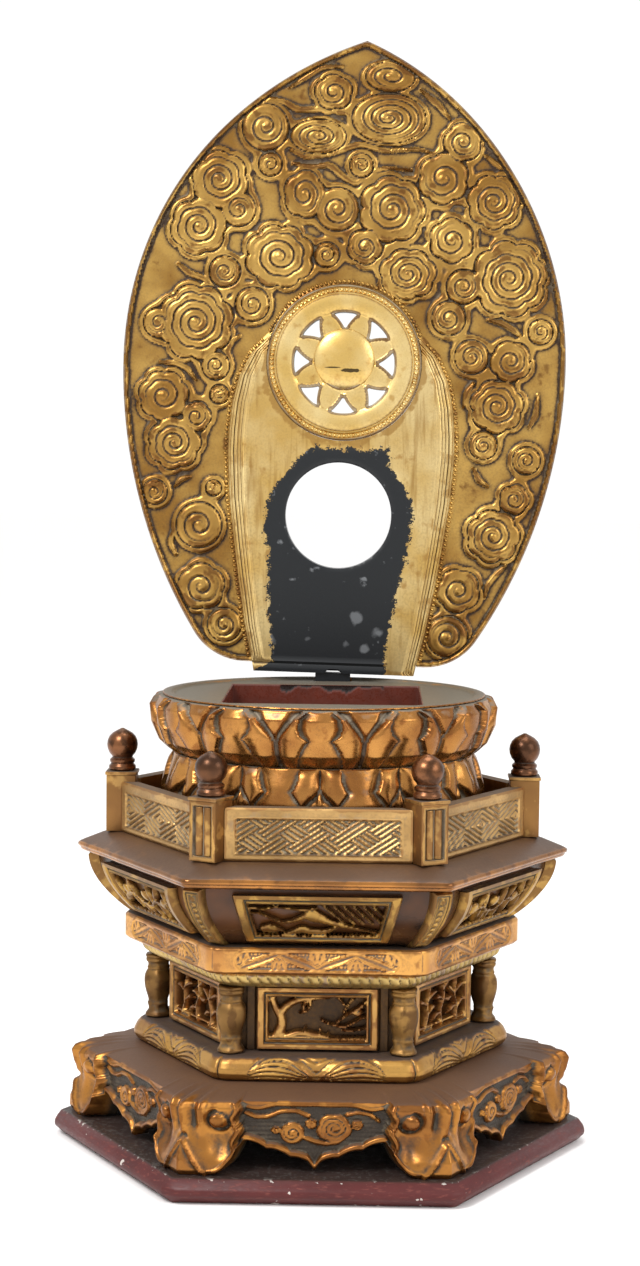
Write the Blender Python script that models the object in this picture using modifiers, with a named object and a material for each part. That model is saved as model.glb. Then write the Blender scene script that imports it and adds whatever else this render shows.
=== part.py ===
"""Carved and gilded lotus pedestal with a railing, and the pointed mandorla that stands on it.

Metres, +Z up. The origin is the middle of the plinth's underside and the front faces -Y.
Every tier is a regular hexagon with two faces square to Y, and stands on the tier below it.
"""
import math

import bpy
import bmesh
from mathutils import Matrix, Vector

# Clearance between pieces that touch
GAP = 0.0003
SIDES = 6
FACE_SLOPE = math.tan(math.pi / SIDES)
CORNER_SHARE = math.cos(math.pi / SIDES)

# Plinth board
PLINTH_RADIUS = 0.1725
PLINTH_HEIGHT = 0.015
PLINTH_CORNER = 0.006
PLINTH_ARRIS = 0.0012

# Skirt: aprons between six scrolled feet, hollow below
SKIRT_APOTHEM = 0.130
SKIRT_HEIGHT = 0.0465
SKIRT_WALL = 0.010
SKIRT_TOP_BOARD = 0.013
APRON_PENDANT = 0.0010
APRON_RISE = 0.0185
APRON_BORDER = 0.004
APRON_RECESS = 0.0018
FOOT_START = 0.042
FOOT_SPREAD = 0.0085
FOOT_LOBE = 0.0028
APRON_WHORL = 0.0085

# Wave moulding
WAVE_APOTHEM = 0.105
WAVE_HEIGHT = 0.0147
WAVE_CORNER = 0.015
WAVE_RESERVE = 0.043
WAVE_CARVING = 0.0009

# Waist: block, framed panels and corner balusters
WAIST_APOTHEM = 0.0885
WAIST_HEIGHT = 0.0404
WAIST_PANEL_WIDTH = 0.0734
WAIST_PANEL_HEIGHT = 0.037
WAIST_PANEL_THICKNESS = 0.0065
WAIST_OPENING_WIDTH = 0.0586
WAIST_OPENING_HEIGHT = 0.0255
PANEL_RECESS = 0.0022
BALUSTER_CLEARANCE = 0.0005
BALUSTER_RADIUS = 0.009
BALUSTER_FOOT = 0.0078

# Rope band under the slab
ROPE_APOTHEM = 0.100
ROPE_HEIGHT = 0.010
ROPE_CORNER = 0.012
ROPE_PETALS = 6
ROPE_DEPTH = 0.0009

# Slab with rounded corners
SLAB_APOTHEM = 0.110
SLAB_HEIGHT = 0.0165
SLAB_CORNER = 0.012
SLAB_ARRIS = 0.001
SLAB_BORDER = 0.0035
SLAB_RECESS = 0.0008

# Flared tier: body, corner strips and pierced panels
FLARE_FOOT_RADIUS = 0.1165
FLARE_TOP_RADIUS = 0.145
FLARE_HEIGHT = 0.0377
FLARE_STATIONS = (0.0, 0.42, 1.0)
STRIP_WIDTH = 0.0125
STRIP_THICKNESS = 0.003
FLARE_PANEL_TOP = 0.050
FLARE_PANEL_FOOT = 0.042
FLARE_PANEL_LOW = 0.004
FLARE_PANEL_HIGH = 0.0345
FLARE_PANEL_THICKNESS = 0.0055
FLARE_PANEL_BORDER = 0.0075

# Eave slab
EAVE_RADIUS = 0.156
EAVE_HEIGHT = 0.0137
EAVE_TOP_RADIUS = 0.140

# Railing
POST_CENTRE = 0.1276
POST_WIDTH = 0.0185
POST_HEIGHT = 0.038
POST_BORDER = 0.003
POST_REEDS = 2
REED_DEPTH = 0.0012
REED_GAP = 0.0013
FINIAL_RADIUS = 0.0097
FINIAL_HEIGHT = 0.0265
RAIL_THICKNESS = 0.009
RAIL_HEIGHT = 0.0318
RAIL_BORDER = 0.0062
FRET_DEPTH = 0.0014
FRET_BAR = 0.0026
FRET_POCKETS = 3

# Lotus, a lower ring of down-turned petals and an upper ring of up-turned ones
PETALS = 12
PETAL_FACETS = 5
LOTUS_LOWER_RADIUS = 0.101
LOTUS_LOWER_HEIGHT = 0.0525
LOTUS_NECK_RADIUS = 0.0936
LOTUS_UPPER_RADIUS = 0.1086
LOTUS_UPPER_HEIGHT = 0.0372
LOTUS_RIM_RADIUS = 0.098
LOTUS_PLATE_DIP = 0.002
PETAL_DEPTH = 0.0065
WELL_WIDTH = 0.122
WELL_DEPTH = 0.120
WELL_FLOOR = 0.005
MORTISE_DEPTH = 0.012

# Mandorla, in its own frame: X from its middle line, Z from its foot, front face at Y zero
MANDORLA_LEAN = math.radians(1.3)
MANDORLA_OFFSET = 0.0046
MANDORLA_FRONT = 0.086
MANDORLA_LIFT = 0.0055
BOARD_THICKNESS = 0.012
FIELD_RECESS = 0.002
RIM_WIDTH = 0.0035
OUTLINE_HALF_WIDTH = 0.1466
OUTLINE_WIDEST = 0.205
OUTLINE_TOP = 0.417
OUTLINE_LOWER_ARC = 0.3362
LOBE_RADIUS = 0.0406
LOBE_FOOT = 0.006
LOBE_LIFT = 0.002
TIP_DRIFT = 0.008
COLUMN_WIDEST = 0.145
COLUMN_HALF_WIDTH = 0.075
COLUMN_FOOT_HALF_WIDTH = 0.0535
COLUMN_RIDGES = 0.0105
COLUMN_RELIEF = 0.0015
LACQUER_HALF_WIDTH = 0.045
LACQUER_TOP = 0.150
HOLE_RADIUS = 0.0353
HOLE_HEIGHT = 0.1053
RING_RADIUS = 0.0514
RING_HEIGHT = 0.2066
RING_BEADS = 0.005
RING_FACETS = 24
SHOULDER_SHARE = 0.36
OPENWORK_RADIUS = 0.0334
OPENWORK_SHARE = 0.63
BOSS_RADIUS = 0.020
BOSS_MARGIN = 0.003
HALO_PETALS = 8
TENON_WIDTH = 0.024
TENON_THICKNESS = 0.008
WHORL_HEIGHT = 0.0028
WHORL_POINTS = 6
CREST_SHARE = 0.7

# Cloud whorls of the mandorla: place across from the middle line, height and radius
CLOUD_WHORLS = (
    (0.024, 0.394, 0.012), (-0.013, 0.383, 0.011),
    (-0.057, 0.358, 0.015), (-0.021, 0.355, 0.015), (0.025, 0.365, 0.018), (0.073, 0.353, 0.013),
    (-0.086, 0.324, 0.018), (-0.053, 0.333, 0.010), (0.060, 0.329, 0.016), (0.096, 0.316, 0.017),
    (-0.098, 0.292, 0.018), (-0.030, 0.315, 0.013), (-0.006, 0.307, 0.013), (0.028, 0.308, 0.021),
    (0.068, 0.288, 0.015), (-0.046, 0.276, 0.022), (0.039, 0.268, 0.016), (0.107, 0.266, 0.024),
    (-0.080, 0.264, 0.010), (-0.097, 0.230, 0.025), (0.070, 0.240, 0.010), (0.110, 0.214, 0.015),
    (-0.119, 0.183, 0.016), (0.106, 0.181, 0.017), (-0.108, 0.152, 0.018), (0.118, 0.146, 0.012),
    (-0.119, 0.115, 0.011), (0.115, 0.122, 0.010), (-0.094, 0.096, 0.015), (0.103, 0.096, 0.017),
    (-0.090, 0.056, 0.015), (0.082, 0.058, 0.014), (-0.077, 0.027, 0.013), (0.077, 0.027, 0.013),
)

# Levels of the tiers, each on the one below
SKIRT_BASE = PLINTH_HEIGHT + GAP
SKIRT_TOP = SKIRT_BASE + SKIRT_HEIGHT
WAVE_BASE = SKIRT_TOP + GAP
WAVE_TOP = WAVE_BASE + WAVE_HEIGHT
WAIST_BASE = WAVE_TOP + GAP
WAIST_TOP = WAIST_BASE + WAIST_HEIGHT
ROPE_BASE = WAIST_TOP + GAP
ROPE_TOP = ROPE_BASE + ROPE_HEIGHT
SLAB_BASE = ROPE_TOP + GAP
SLAB_TOP = SLAB_BASE + SLAB_HEIGHT
FLARE_BASE = SLAB_TOP + GAP
FLARE_TOP = FLARE_BASE + FLARE_HEIGHT
EAVE_BASE = FLARE_TOP + GAP
EAVE_TOP = EAVE_BASE + EAVE_HEIGHT
RAIL_BASE = EAVE_TOP + GAP
LOTUS_BASE = EAVE_TOP + GAP
LOTUS_SEAM = LOTUS_BASE + LOTUS_LOWER_HEIGHT
UPPER_BASE = LOTUS_SEAM + GAP
UPPER_TOP = UPPER_BASE + LOTUS_UPPER_HEIGHT
PLATE_LEVEL = UPPER_TOP - LOTUS_PLATE_DIP
MANDORLA_BASE = PLATE_LEVEL + MANDORLA_LIFT

# Places that one piece takes from another
WAIST_BLOCK_APOTHEM = WAIST_APOTHEM - WAIST_PANEL_THICKNESS - GAP
BALUSTER_CENTRE = WAIST_BLOCK_APOTHEM / CORNER_SHARE + BALUSTER_CLEARANCE + BALUSTER_RADIUS
POST_APOTHEM = POST_CENTRE * CORNER_SHARE
BOARD_BACK = BOARD_THICKNESS + FIELD_RECESS
MANDORLA_PLACE = (MANDORLA_OFFSET, MANDORLA_FRONT - FIELD_RECESS, MANDORLA_BASE)
TENON_MIDDLE = MANDORLA_PLACE[1] + BOARD_BACK / 2

FACES = range(SIDES)
FLAT_ANGLE = math.radians(0.2)

for leftover in list(bpy.data.objects):
    bpy.data.objects.remove(leftover, do_unlink=True)

parts = bpy.data.collections.new("lotus_pedestal_with_mandorla")
cutters = bpy.data.collections.new("cutters")
bpy.context.scene.collection.children.link(parts)
bpy.context.scene.collection.children.link(cutters)


def finish(name, colour, roughness, metallic):
    """A Principled material in a plain colour."""
    material = bpy.data.materials.new(name)
    material.use_nodes = True
    shader = material.node_tree.nodes["Principled BSDF"]
    shader.inputs["Base Color"].default_value = (*colour, 1.0)
    shader.inputs["Roughness"].default_value = roughness
    shader.inputs["Metallic"].default_value = metallic
    return material


AMBER_GILT = finish("amber_gilt", (0.45, 0.24, 0.06), 0.4, 0.8)
PALE_GILT = finish("pale_gilt", (0.62, 0.45, 0.17), 0.4, 0.8)
DUSTY_GILT = finish("dusty_gilt", (0.33, 0.22, 0.12), 0.6, 0.4)
BROWN_LACQUER = finish("brown_lacquer", (0.07, 0.035, 0.018), 0.3, 0.0)
BLACK_LACQUER = finish("black_lacquer", (0.018, 0.02, 0.024), 0.35, 0.0)
RED_LACQUER = finish("red_lacquer", (0.15, 0.028, 0.025), 0.45, 0.0)


def add_part(name, mesh, material, parent=None):
    """A named part around a mesh, in the object's collection."""
    part = bpy.data.objects.new(name, mesh)
    parts.objects.link(part)
    if not mesh.materials:
        mesh.materials.append(material)
    part.parent = parent
    return part


def mesh_from(name, bm):
    """Close a bmesh into a mesh whose faces point outwards."""
    bmesh.ops.recalc_face_normals(bm, faces=bm.faces)
    mesh = bpy.data.meshes.new(name)
    bm.to_mesh(mesh)
    bm.free()
    return mesh


def loft(name, rings):
    """Solid through closed rings of equally many points, flat at both ends."""
    bm = bmesh.new()
    rows = [[bm.verts.new(point) for point in ring] for ring in rings]
    for lower, upper in zip(rows, rows[1:]):
        for index in range(len(lower)):
            after = (index + 1) % len(lower)
            bm.faces.new((lower[index], lower[after], upper[after], upper[index]))
    bm.faces.new(rows[0])
    bm.faces.new(rows[-1])
    return mesh_from(name, bm)


def outline_mesh(name, outlines, front, back):
    """Solid cut from flat outlines in the X-Z plane, between two depths along Y."""
    curve = bpy.data.curves.new(name, "CURVE")
    curve.dimensions = "2D"
    curve.fill_mode = "BOTH"
    curve.extrude = (back - front) / 2
    for outline in outlines:
        spline = curve.splines.new("POLY")
        spline.points.add(len(outline) - 1)
        for point, (across, up) in zip(spline.points, outline):
            point.co = (across, up, 0.0, 1.0)
        spline.use_cyclic_u = True
    guide = bpy.data.objects.new(name, curve)
    cutters.objects.link(guide)
    depsgraph = bpy.context.evaluated_depsgraph_get()
    mesh = bpy.data.meshes.new_from_object(guide.evaluated_get(depsgraph))
    bpy.data.objects.remove(guide)
    bm = bmesh.new()
    bm.from_mesh(mesh)
    bpy.data.meshes.remove(mesh)
    bmesh.ops.remove_doubles(bm, verts=bm.verts, dist=1e-6)
    upright = Matrix.Rotation(math.pi / 2, 4, "X")
    place = Matrix.Translation((0.0, (front + back) / 2, 0.0))
    bmesh.ops.transform(bm, matrix=place @ upright, verts=bm.verts)
    bmesh.ops.dissolve_limit(bm, angle_limit=FLAT_ANGLE, verts=bm.verts, edges=bm.edges)
    return mesh_from(name, bm)


def add_cutter(name, mesh, parent=None):
    """A hidden shape that a part is cut or joined with."""
    cutter = bpy.data.objects.new(name, mesh)
    cutters.objects.link(cutter)
    cutter.hide_render = True
    cutter.display_type = "WIRE"
    cutter.parent = parent
    return cutter


def combine(part, other, operation):
    """Cut or join a part with another shape."""
    boolean = part.modifiers.new(other.name, "BOOLEAN")
    boolean.operation = operation
    boolean.solver = "EXACT"
    boolean.object = other


def merge_flat(part):
    """Join the slivers that cuts leave on flat faces."""
    flatten = part.modifiers.new("flat_faces", "DECIMATE")
    flatten.decimate_type = "DISSOLVE"
    flatten.angle_limit = FLAT_ANGLE


def settled_mesh(part):
    """The part's mesh with its modifiers applied, for pieces that share it."""
    depsgraph = bpy.context.evaluated_depsgraph_get()
    return bpy.data.meshes.new_from_object(part.evaluated_get(depsgraph))


def box_outline(half_width, low, high):
    """A rectangle, centred across."""
    return [(-half_width, low), (half_width, low), (half_width, high), (-half_width, high)]


def arc_points(centre, radius, start, end, steps):
    """Points along an arc between two angles, both ends included."""
    points = []
    for step in range(steps + 1):
        angle = start + (end - start) * step / steps
        points.append((centre[0] + radius * math.cos(angle), centre[1] + radius * math.sin(angle)))
    return points


def hexagon_reach(from_normal, apothem, corner):
    """Distance from the axis to a hexagon with rounded corners, at an angle from a face's normal."""
    from_normal = abs(from_normal)
    flat_end = math.atan2((apothem - corner) * FACE_SLOPE, apothem)
    if from_normal <= flat_end or corner == 0:
        return apothem / math.cos(from_normal)
    centre = (apothem - corner) / CORNER_SHARE
    from_corner = math.pi / SIDES - from_normal
    beside = centre * math.sin(from_corner)
    return centre * math.cos(from_corner) + math.sqrt(max(corner ** 2 - beside ** 2, 0))


def hexagon_point(face, share, apothem, corner, height):
    """Point on a rounded hexagon, by its share of the half width of one face."""
    from_normal = math.atan(share * FACE_SLOPE)
    angle = -math.pi / 2 + face * 2 * math.pi / SIDES + from_normal
    reach = hexagon_reach(from_normal, apothem, corner)
    return Vector((reach * math.cos(angle), reach * math.sin(angle), height))


def mirrored_places(places):
    """Places across one face, on both sides of its middle, with the corner at one end only."""
    inner = [-place for place in reversed(places[1:-1])]
    return inner + list(places)


def face_positions(count=SIDES, start=0.0):
    """Turns about Z that repeat a piece on each face or corner."""
    return [start + index * 2 * math.pi / count for index in range(count)]


def repeat_round(name, mesh, material, start=0.0):
    """Six like pieces that share one mesh."""
    for index, turn in enumerate(face_positions(start=start)):
        piece = add_part(f"{name}_{index + 1}", mesh, material)
        piece.rotation_euler.z = turn


def plinth_board():
    """Six-sided lacquered board with clipped corners and softened arrises."""
    hexagonal_board("plinth_board", PLINTH_RADIUS, 0.0, PLINTH_HEIGHT, PLINTH_CORNER, 1,
                    PLINTH_ARRIS, RED_LACQUER)


def hexagonal_board(name, radius, base, height, corner, segments, arris, material, reserve=None):
    """Board from a six-sided cylinder, its upright edges rounded and its rims bevelled."""
    bm = bmesh.new()
    place = Matrix.Translation((0, 0, base + height / 2)) @ Matrix.Rotation(math.pi / SIDES, 4, "Z")
    bmesh.ops.create_cone(bm, cap_ends=True, segments=SIDES, radius1=radius, radius2=radius,
                          depth=height, matrix=place)
    upright = [edge for edge in bm.edges
               if abs(edge.verts[0].co.z - edge.verts[1].co.z) > height / 2]
    bmesh.ops.bevel(bm, geom=upright, offset=corner, segments=segments, profile=0.5,
                    affect="EDGES")
    if reserve:
        border, recess = reserve
        bm.faces.ensure_lookup_table()
        wide = [face for face in bm.faces
                if abs(face.normal.z) < 0.5 and face.calc_area() > radius * height / 2]
        bmesh.ops.inset_individual(bm, faces=wide, thickness=border, depth=-recess)
    part = add_part(name, mesh_from(name, bm), material)
    soften = part.modifiers.new("arris", "BEVEL")
    soften.width = arris
    soften.segments = 1
    soften.limit_method = "ANGLE"
    soften.angle_limit = math.radians(60)
    return part


def apron_edge(place):
    """Height of the skirt's lower edge: a cusped apron, then a foot that comes down to the plinth."""
    if place >= FOOT_START:
        into_foot = (place - FOOT_START) / (SKIRT_APOTHEM * FACE_SLOPE - FOOT_START)
        return SKIRT_BASE + APRON_RISE * max(0.0, 1 - into_foot / 0.45) ** 2
    share = place / FOOT_START
    cusps = abs(math.sin(share * 3 * math.pi)) * 0.0012
    pendant = APRON_RISE * 0.16 * min(share / 0.09, 1.0)
    return SKIRT_BASE + APRON_PENDANT + pendant + APRON_RISE * 0.78 * share + cusps


def skirt_ring(places, half_face, row):
    """One ring round the skirt; row gives the apothem and height at each place on a face."""
    ring = []
    for face in FACES:
        for place in places:
            apothem, height = row(abs(place))
            ring.append(hexagon_point(face, place / half_face, apothem, 0.0, height))
    return ring


def skirt():
    """Hollow base: a top board, cusped aprons with a sunk field, and lobed feet at the corners."""
    half_face = SKIRT_APOTHEM * FACE_SLOPE
    foot_width = half_face - FOOT_START
    places = mirrored_places([
        0.0, 0.12 * FOOT_START, 0.7 * FOOT_START, FOOT_START,
        FOOT_START + 0.17 * foot_width, FOOT_START + 0.42 * foot_width,
        FOOT_START + 0.74 * foot_width, half_face])

    def lobe(place):
        return FOOT_LOBE * math.cos(2 * math.pi * (place - FOOT_START) / foot_width)

    def foot_or_apron(apron, foot):
        """Row whose apothem offset and height differ between apron and foot."""
        def row(place):
            edge = apron_edge(place)
            offset, height, lobed = foot if place >= FOOT_START else apron
            if lobed:
                offset += lobe(place)
            return SKIRT_APOTHEM + offset, max(height, edge + APRON_BORDER * lobed)
        return row

    def border_row(place):
        lift = APRON_BORDER
        if place >= FOOT_START:
            return SKIRT_APOTHEM + FOOT_SPREAD + lobe(place), apron_edge(place) + 3 * lift
        return SKIRT_APOTHEM - APRON_RECESS, apron_edge(place) + lift

    def lip_row(place):
        if place >= FOOT_START:
            return SKIRT_APOTHEM + FOOT_SPREAD + lobe(place), apron_edge(place) + APRON_PENDANT
        return SKIRT_APOTHEM + APRON_RECESS, apron_edge(place) + APRON_BORDER * 0.8

    def hem_row(place):
        spread = FOOT_SPREAD * 0.7 if place >= FOOT_START else 0.0
        return SKIRT_APOTHEM + spread, apron_edge(place)

    def inner_hem_row(place):
        return SKIRT_APOTHEM - SKIRT_WALL, apron_edge(place)

    def ceiling_row(place):
        return SKIRT_APOTHEM - 1.4 * SKIRT_WALL, SKIRT_TOP - SKIRT_TOP_BOARD

    def seat_row(place):
        return WAVE_APOTHEM, SKIRT_TOP

    knee = SKIRT_TOP - 0.2 * SKIRT_HEIGHT
    rows = (
        seat_row,
        foot_or_apron((0.0, SKIRT_TOP - 0.004, 0), (0.7 * FOOT_SPREAD, knee, 1)),
        foot_or_apron((-APRON_RECESS, SKIRT_TOP - 0.007, 0), (0.35 * FOOT_SPREAD, knee - 0.009, 1)),
        border_row, lip_row, hem_row, inner_hem_row, ceiling_row)
    mesh = loft("skirt", [skirt_ring(places, half_face, row) for row in rows])
    part = add_part("skirt", mesh, AMBER_GILT)
    whorls = []
    for side in (-1, 1):
        middle = (side * 1.9 * APRON_WHORL, SKIRT_BASE + 0.55 * SKIRT_HEIGHT)
        whorls.append((*middle, APRON_WHORL))
    for face, turn in enumerate(face_positions()):
        carving = add_cutter(f"apron_whorls_{face + 1}", whorl_mesh(
            "apron_whorls", whorls, -SKIRT_APOTHEM + 2 * APRON_RECESS, 2.5 * APRON_RECESS,
            WHORL_POINTS))
        carving.rotation_euler.z = turn
        combine(part, carving, "UNION")
    merge_flat(part)


def whorl_mesh(name, whorls, root, height, points):
    """Cloud whorls: lobed bosses with a sunk eye, rising towards -Y from a root plane."""
    bm = bmesh.new()
    for across, up, radius in whorls:
        base = []
        crest = []
        for index in range(points):
            angle = 2 * math.pi * index / points
            reach = radius * (1.0 if index % 2 else 0.84)
            turned = (math.cos(angle), math.sin(angle))
            base.append(bm.verts.new((across + reach * turned[0], root, up + reach * turned[1])))
            crest.append(bm.verts.new((across + CREST_SHARE * radius * turned[0], root - height,
                                       up + CREST_SHARE * radius * turned[1])))
        eye = bm.verts.new((across, root - 0.4 * height, up))
        for index in range(points):
            after = (index + 1) % points
            bm.faces.new((base[index], base[after], crest[after], crest[index]))
            bm.faces.new((crest[index], crest[after], eye))
        bm.faces.new(base)
    return mesh_from(name, bm)


def spaced(whorls):
    """Draw in the radius of whorls that would run into a neighbour."""
    drawn = []
    for across, up, radius in whorls:
        share = 1.0
        for other_across, other_up, other_radius in whorls:
            distance = math.hypot(across - other_across, up - other_up)
            if distance > 0:
                share = min(share, (distance - GAP) / (radius + other_radius))
        drawn.append((across, up, radius * share))
    return drawn


def wave_moulding():
    """Cushion moulding with plain rounded corners and a fluted wave carved on each face."""
    half_face = WAVE_APOTHEM * FACE_SLOPE
    knob = (WAVE_RESERVE + half_face) / 2
    steps = 3
    places = mirrored_places(
        [WAVE_RESERVE * step / steps * 0.86 for step in range(steps + 1)]
        + [WAVE_RESERVE, knob, half_face])
    profile = ((-0.003, 0.0, 0), (0.0, 0.22, 1), (-0.0015, 0.6, 1), (-0.006, 1.0, 0))
    rings = []
    for offset, share, carved in profile:
        ring = []
        for face in FACES:
            for index, place in enumerate(places):
                depth = 0.0
                if carved and abs(place) < WAVE_RESERVE:
                    depth = WAVE_CARVING * (1 if index % 2 else 2)
                apothem = WAVE_APOTHEM + offset - depth
                ring.append(hexagon_point(face, place / half_face, apothem, WAVE_CORNER,
                                          WAVE_BASE + share * WAVE_HEIGHT))
        rings.append(ring)
    add_part("wave_moulding", loft("wave_moulding", rings), AMBER_GILT)


def waist_block():
    """Plain dark block behind the waist panels."""
    bm = bmesh.new()
    place = Matrix.Translation((0, 0, (WAIST_BASE + WAIST_TOP) / 2))
    radius = WAIST_BLOCK_APOTHEM / CORNER_SHARE
    bmesh.ops.create_cone(bm, cap_ends=True, segments=SIDES, radius1=radius, radius2=radius,
                          depth=WAIST_HEIGHT,
                          matrix=place @ Matrix.Rotation(math.pi / SIDES, 4, "Z"))
    add_part("waist_block", mesh_from("waist_block", bm), BROWN_LACQUER)


def pierced_panel(name, width, height, thickness, opening_width, opening_height, voids):
    """Framed panel in the X-Z plane, front at Y zero, its carving sunk and cut through."""
    low = (height - opening_height) / 2
    frame = add_part(name, outline_mesh(name, [box_outline(width / 2, 0, height)], 0, thickness),
                     AMBER_GILT)
    sunk = add_cutter(f"{name}_field", outline_mesh(
        f"{name}_field", [box_outline(opening_width / 2, low, low + opening_height)],
        -thickness, PANEL_RECESS))
    shapes = [[(across * opening_width / 2, low + up * opening_height) for across, up in void]
              for void in voids]
    through = add_cutter(f"{name}_voids", outline_mesh(
        f"{name}_voids", shapes, PANEL_RECESS / 2, 2 * thickness))
    combine(frame, sunk, "DIFFERENCE")
    combine(frame, through, "DIFFERENCE")
    merge_flat(frame)
    mesh = settled_mesh(frame)
    bpy.data.objects.remove(frame)
    bpy.data.objects.remove(sunk)
    bpy.data.objects.remove(through)
    return mesh


def waist_panels():
    """Pierced panels of an old tree over grass, one on each face of the waist."""
    voids = (
        ((-0.95, 0.16), (-0.82, 0.14), (-0.86, 0.9), (-0.95, 0.93)),
        ((-0.62, 0.2), (0.3, 0.16), (0.12, 0.42), (0.34, 0.62), (0.2, 0.93), (-0.2, 0.78),
         (-0.3, 0.5), (-0.42, 0.84), (-0.7, 0.78)),
        ((0.45, 0.55), (0.95, 0.7), (0.95, 0.92), (0.4, 0.93)),
        ((0.5, 0.12), (0.95, 0.14), (0.95, 0.52), (0.4, 0.36)),
    )
    mesh = pierced_panel("waist_panel", WAIST_PANEL_WIDTH, WAIST_PANEL_HEIGHT,
                         WAIST_PANEL_THICKNESS, WAIST_OPENING_WIDTH, WAIST_OPENING_HEIGHT, voids)
    lift = WAIST_BASE + (WAIST_HEIGHT - WAIST_PANEL_HEIGHT) / 2
    mesh.transform(Matrix.Translation((0, -WAIST_APOTHEM, lift)))
    repeat_round("waist_panel", mesh, AMBER_GILT)


def turned_mesh(name, profile, steps):
    """Mesh of a profile, listed from top to bottom, turned about Z."""
    mesh = bpy.data.meshes.new(name)
    vertices = [(radius, 0.0, height) for radius, height in profile]
    edges = [(index, index + 1) for index in range(len(profile) - 1)]
    mesh.from_pydata(vertices, edges, [])
    guide = bpy.data.objects.new(name, mesh)
    cutters.objects.link(guide)
    screw = guide.modifiers.new("turn", "SCREW")
    screw.steps = steps
    screw.render_steps = steps
    screw.use_merge_vertices = True
    screw.merge_threshold = 0.0001
    turned = settled_mesh(guide)
    bpy.data.objects.remove(guide)
    return turned


def balusters():
    """Vase-shaped balusters that stand free at the corners of the waist."""
    height = WAIST_HEIGHT
    profile = (
        (0.0, height), (0.82 * BALUSTER_RADIUS, height),
        (0.7 * BALUSTER_RADIUS, 0.82 * height), (BALUSTER_RADIUS, 0.62 * height),
        (0.58 * BALUSTER_RADIUS, 0.2 * height),
        (BALUSTER_FOOT, 0.04 * height), (BALUSTER_FOOT, 0.0), (0.0, 0.0))
    mesh = turned_mesh("baluster", profile, SIDES)
    mesh.transform(Matrix.Translation((BALUSTER_CENTRE, 0, WAIST_BASE)))
    repeat_round("baluster", mesh, DUSTY_GILT, start=-math.pi / 3)


def rope_band():
    """Band of small slanted petals under the slab, drawn in towards its foot."""
    columns = 2 * ROPE_PETALS
    slant = 0.5 / columns
    rings = []
    for share, inset, lean in ((0.0, 0.005, -slant), (0.75, 0.0, slant), (1.0, 0.0012, slant)):
        ring = []
        for face in FACES:
            for column in range(columns):
                place = -1 + 2 * (column + 0.5) / columns
                flute = ROPE_DEPTH if column % 2 else -ROPE_DEPTH
                apothem = ROPE_APOTHEM - inset + flute
                ring.append(hexagon_point(face, place + lean, apothem, ROPE_CORNER,
                                          ROPE_BASE + share * ROPE_HEIGHT))
        rings.append(ring)
    add_part("rope_band", loft("rope_band", rings), PALE_GILT)


def slab():
    """Board with rounded corners and a long sunk reserve on each edge."""
    hexagonal_board("slab", SLAB_APOTHEM / CORNER_SHARE, SLAB_BASE, SLAB_HEIGHT, SLAB_CORNER, 2,
                    SLAB_ARRIS, AMBER_GILT, reserve=(SLAB_BORDER, SLAB_RECESS))


def flare_radius(share):
    """Corner radius of the flared body at a share of its height: facets on a bowl's curve."""
    lower = max(station for station in FLARE_STATIONS[:-1] if station <= share)
    upper = FLARE_STATIONS[FLARE_STATIONS.index(lower) + 1]
    swell = [math.sin(station * math.pi / 2) ** 0.85 for station in (lower, upper)]
    mix = (share - lower) / (upper - lower)
    spread = swell[0] + (swell[1] - swell[0]) * mix
    return FLARE_FOOT_RADIUS + (FLARE_TOP_RADIUS - FLARE_FOOT_RADIUS) * spread


def flare_body():
    """Bowl-shaped lacquered body of the flared tier, six-sided."""
    profile = [(0.0, FLARE_TOP)]
    profile += [(flare_radius(share), FLARE_BASE + share * FLARE_HEIGHT)
                for share in reversed(FLARE_STATIONS)]
    profile.append((0.0, FLARE_BASE))
    add_part("flare_body", turned_mesh("flare_body", profile, SIDES), BROWN_LACQUER)


def flare_strips():
    """Upright strips that cover the corners of the flared body."""
    rings = []
    for share in FLARE_STATIONS:
        inner = flare_radius(share) + GAP
        half = STRIP_WIDTH / 2 * (0.8 + 0.2 * share)
        beside = half / math.tan(math.pi / 2 - math.pi / SIDES)
        height = FLARE_BASE + share * FLARE_HEIGHT
        outer = inner + STRIP_THICKNESS
        rings.append([Vector(point) for point in (
            (outer, -half, height), (outer, half, height),
            (inner - beside, half, height), (inner, 0.0, height), (inner - beside, -half, height))])
    repeat_round("flare_strip", loft("flare_strip", rings), DUSTY_GILT, start=-math.pi / 3)


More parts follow.
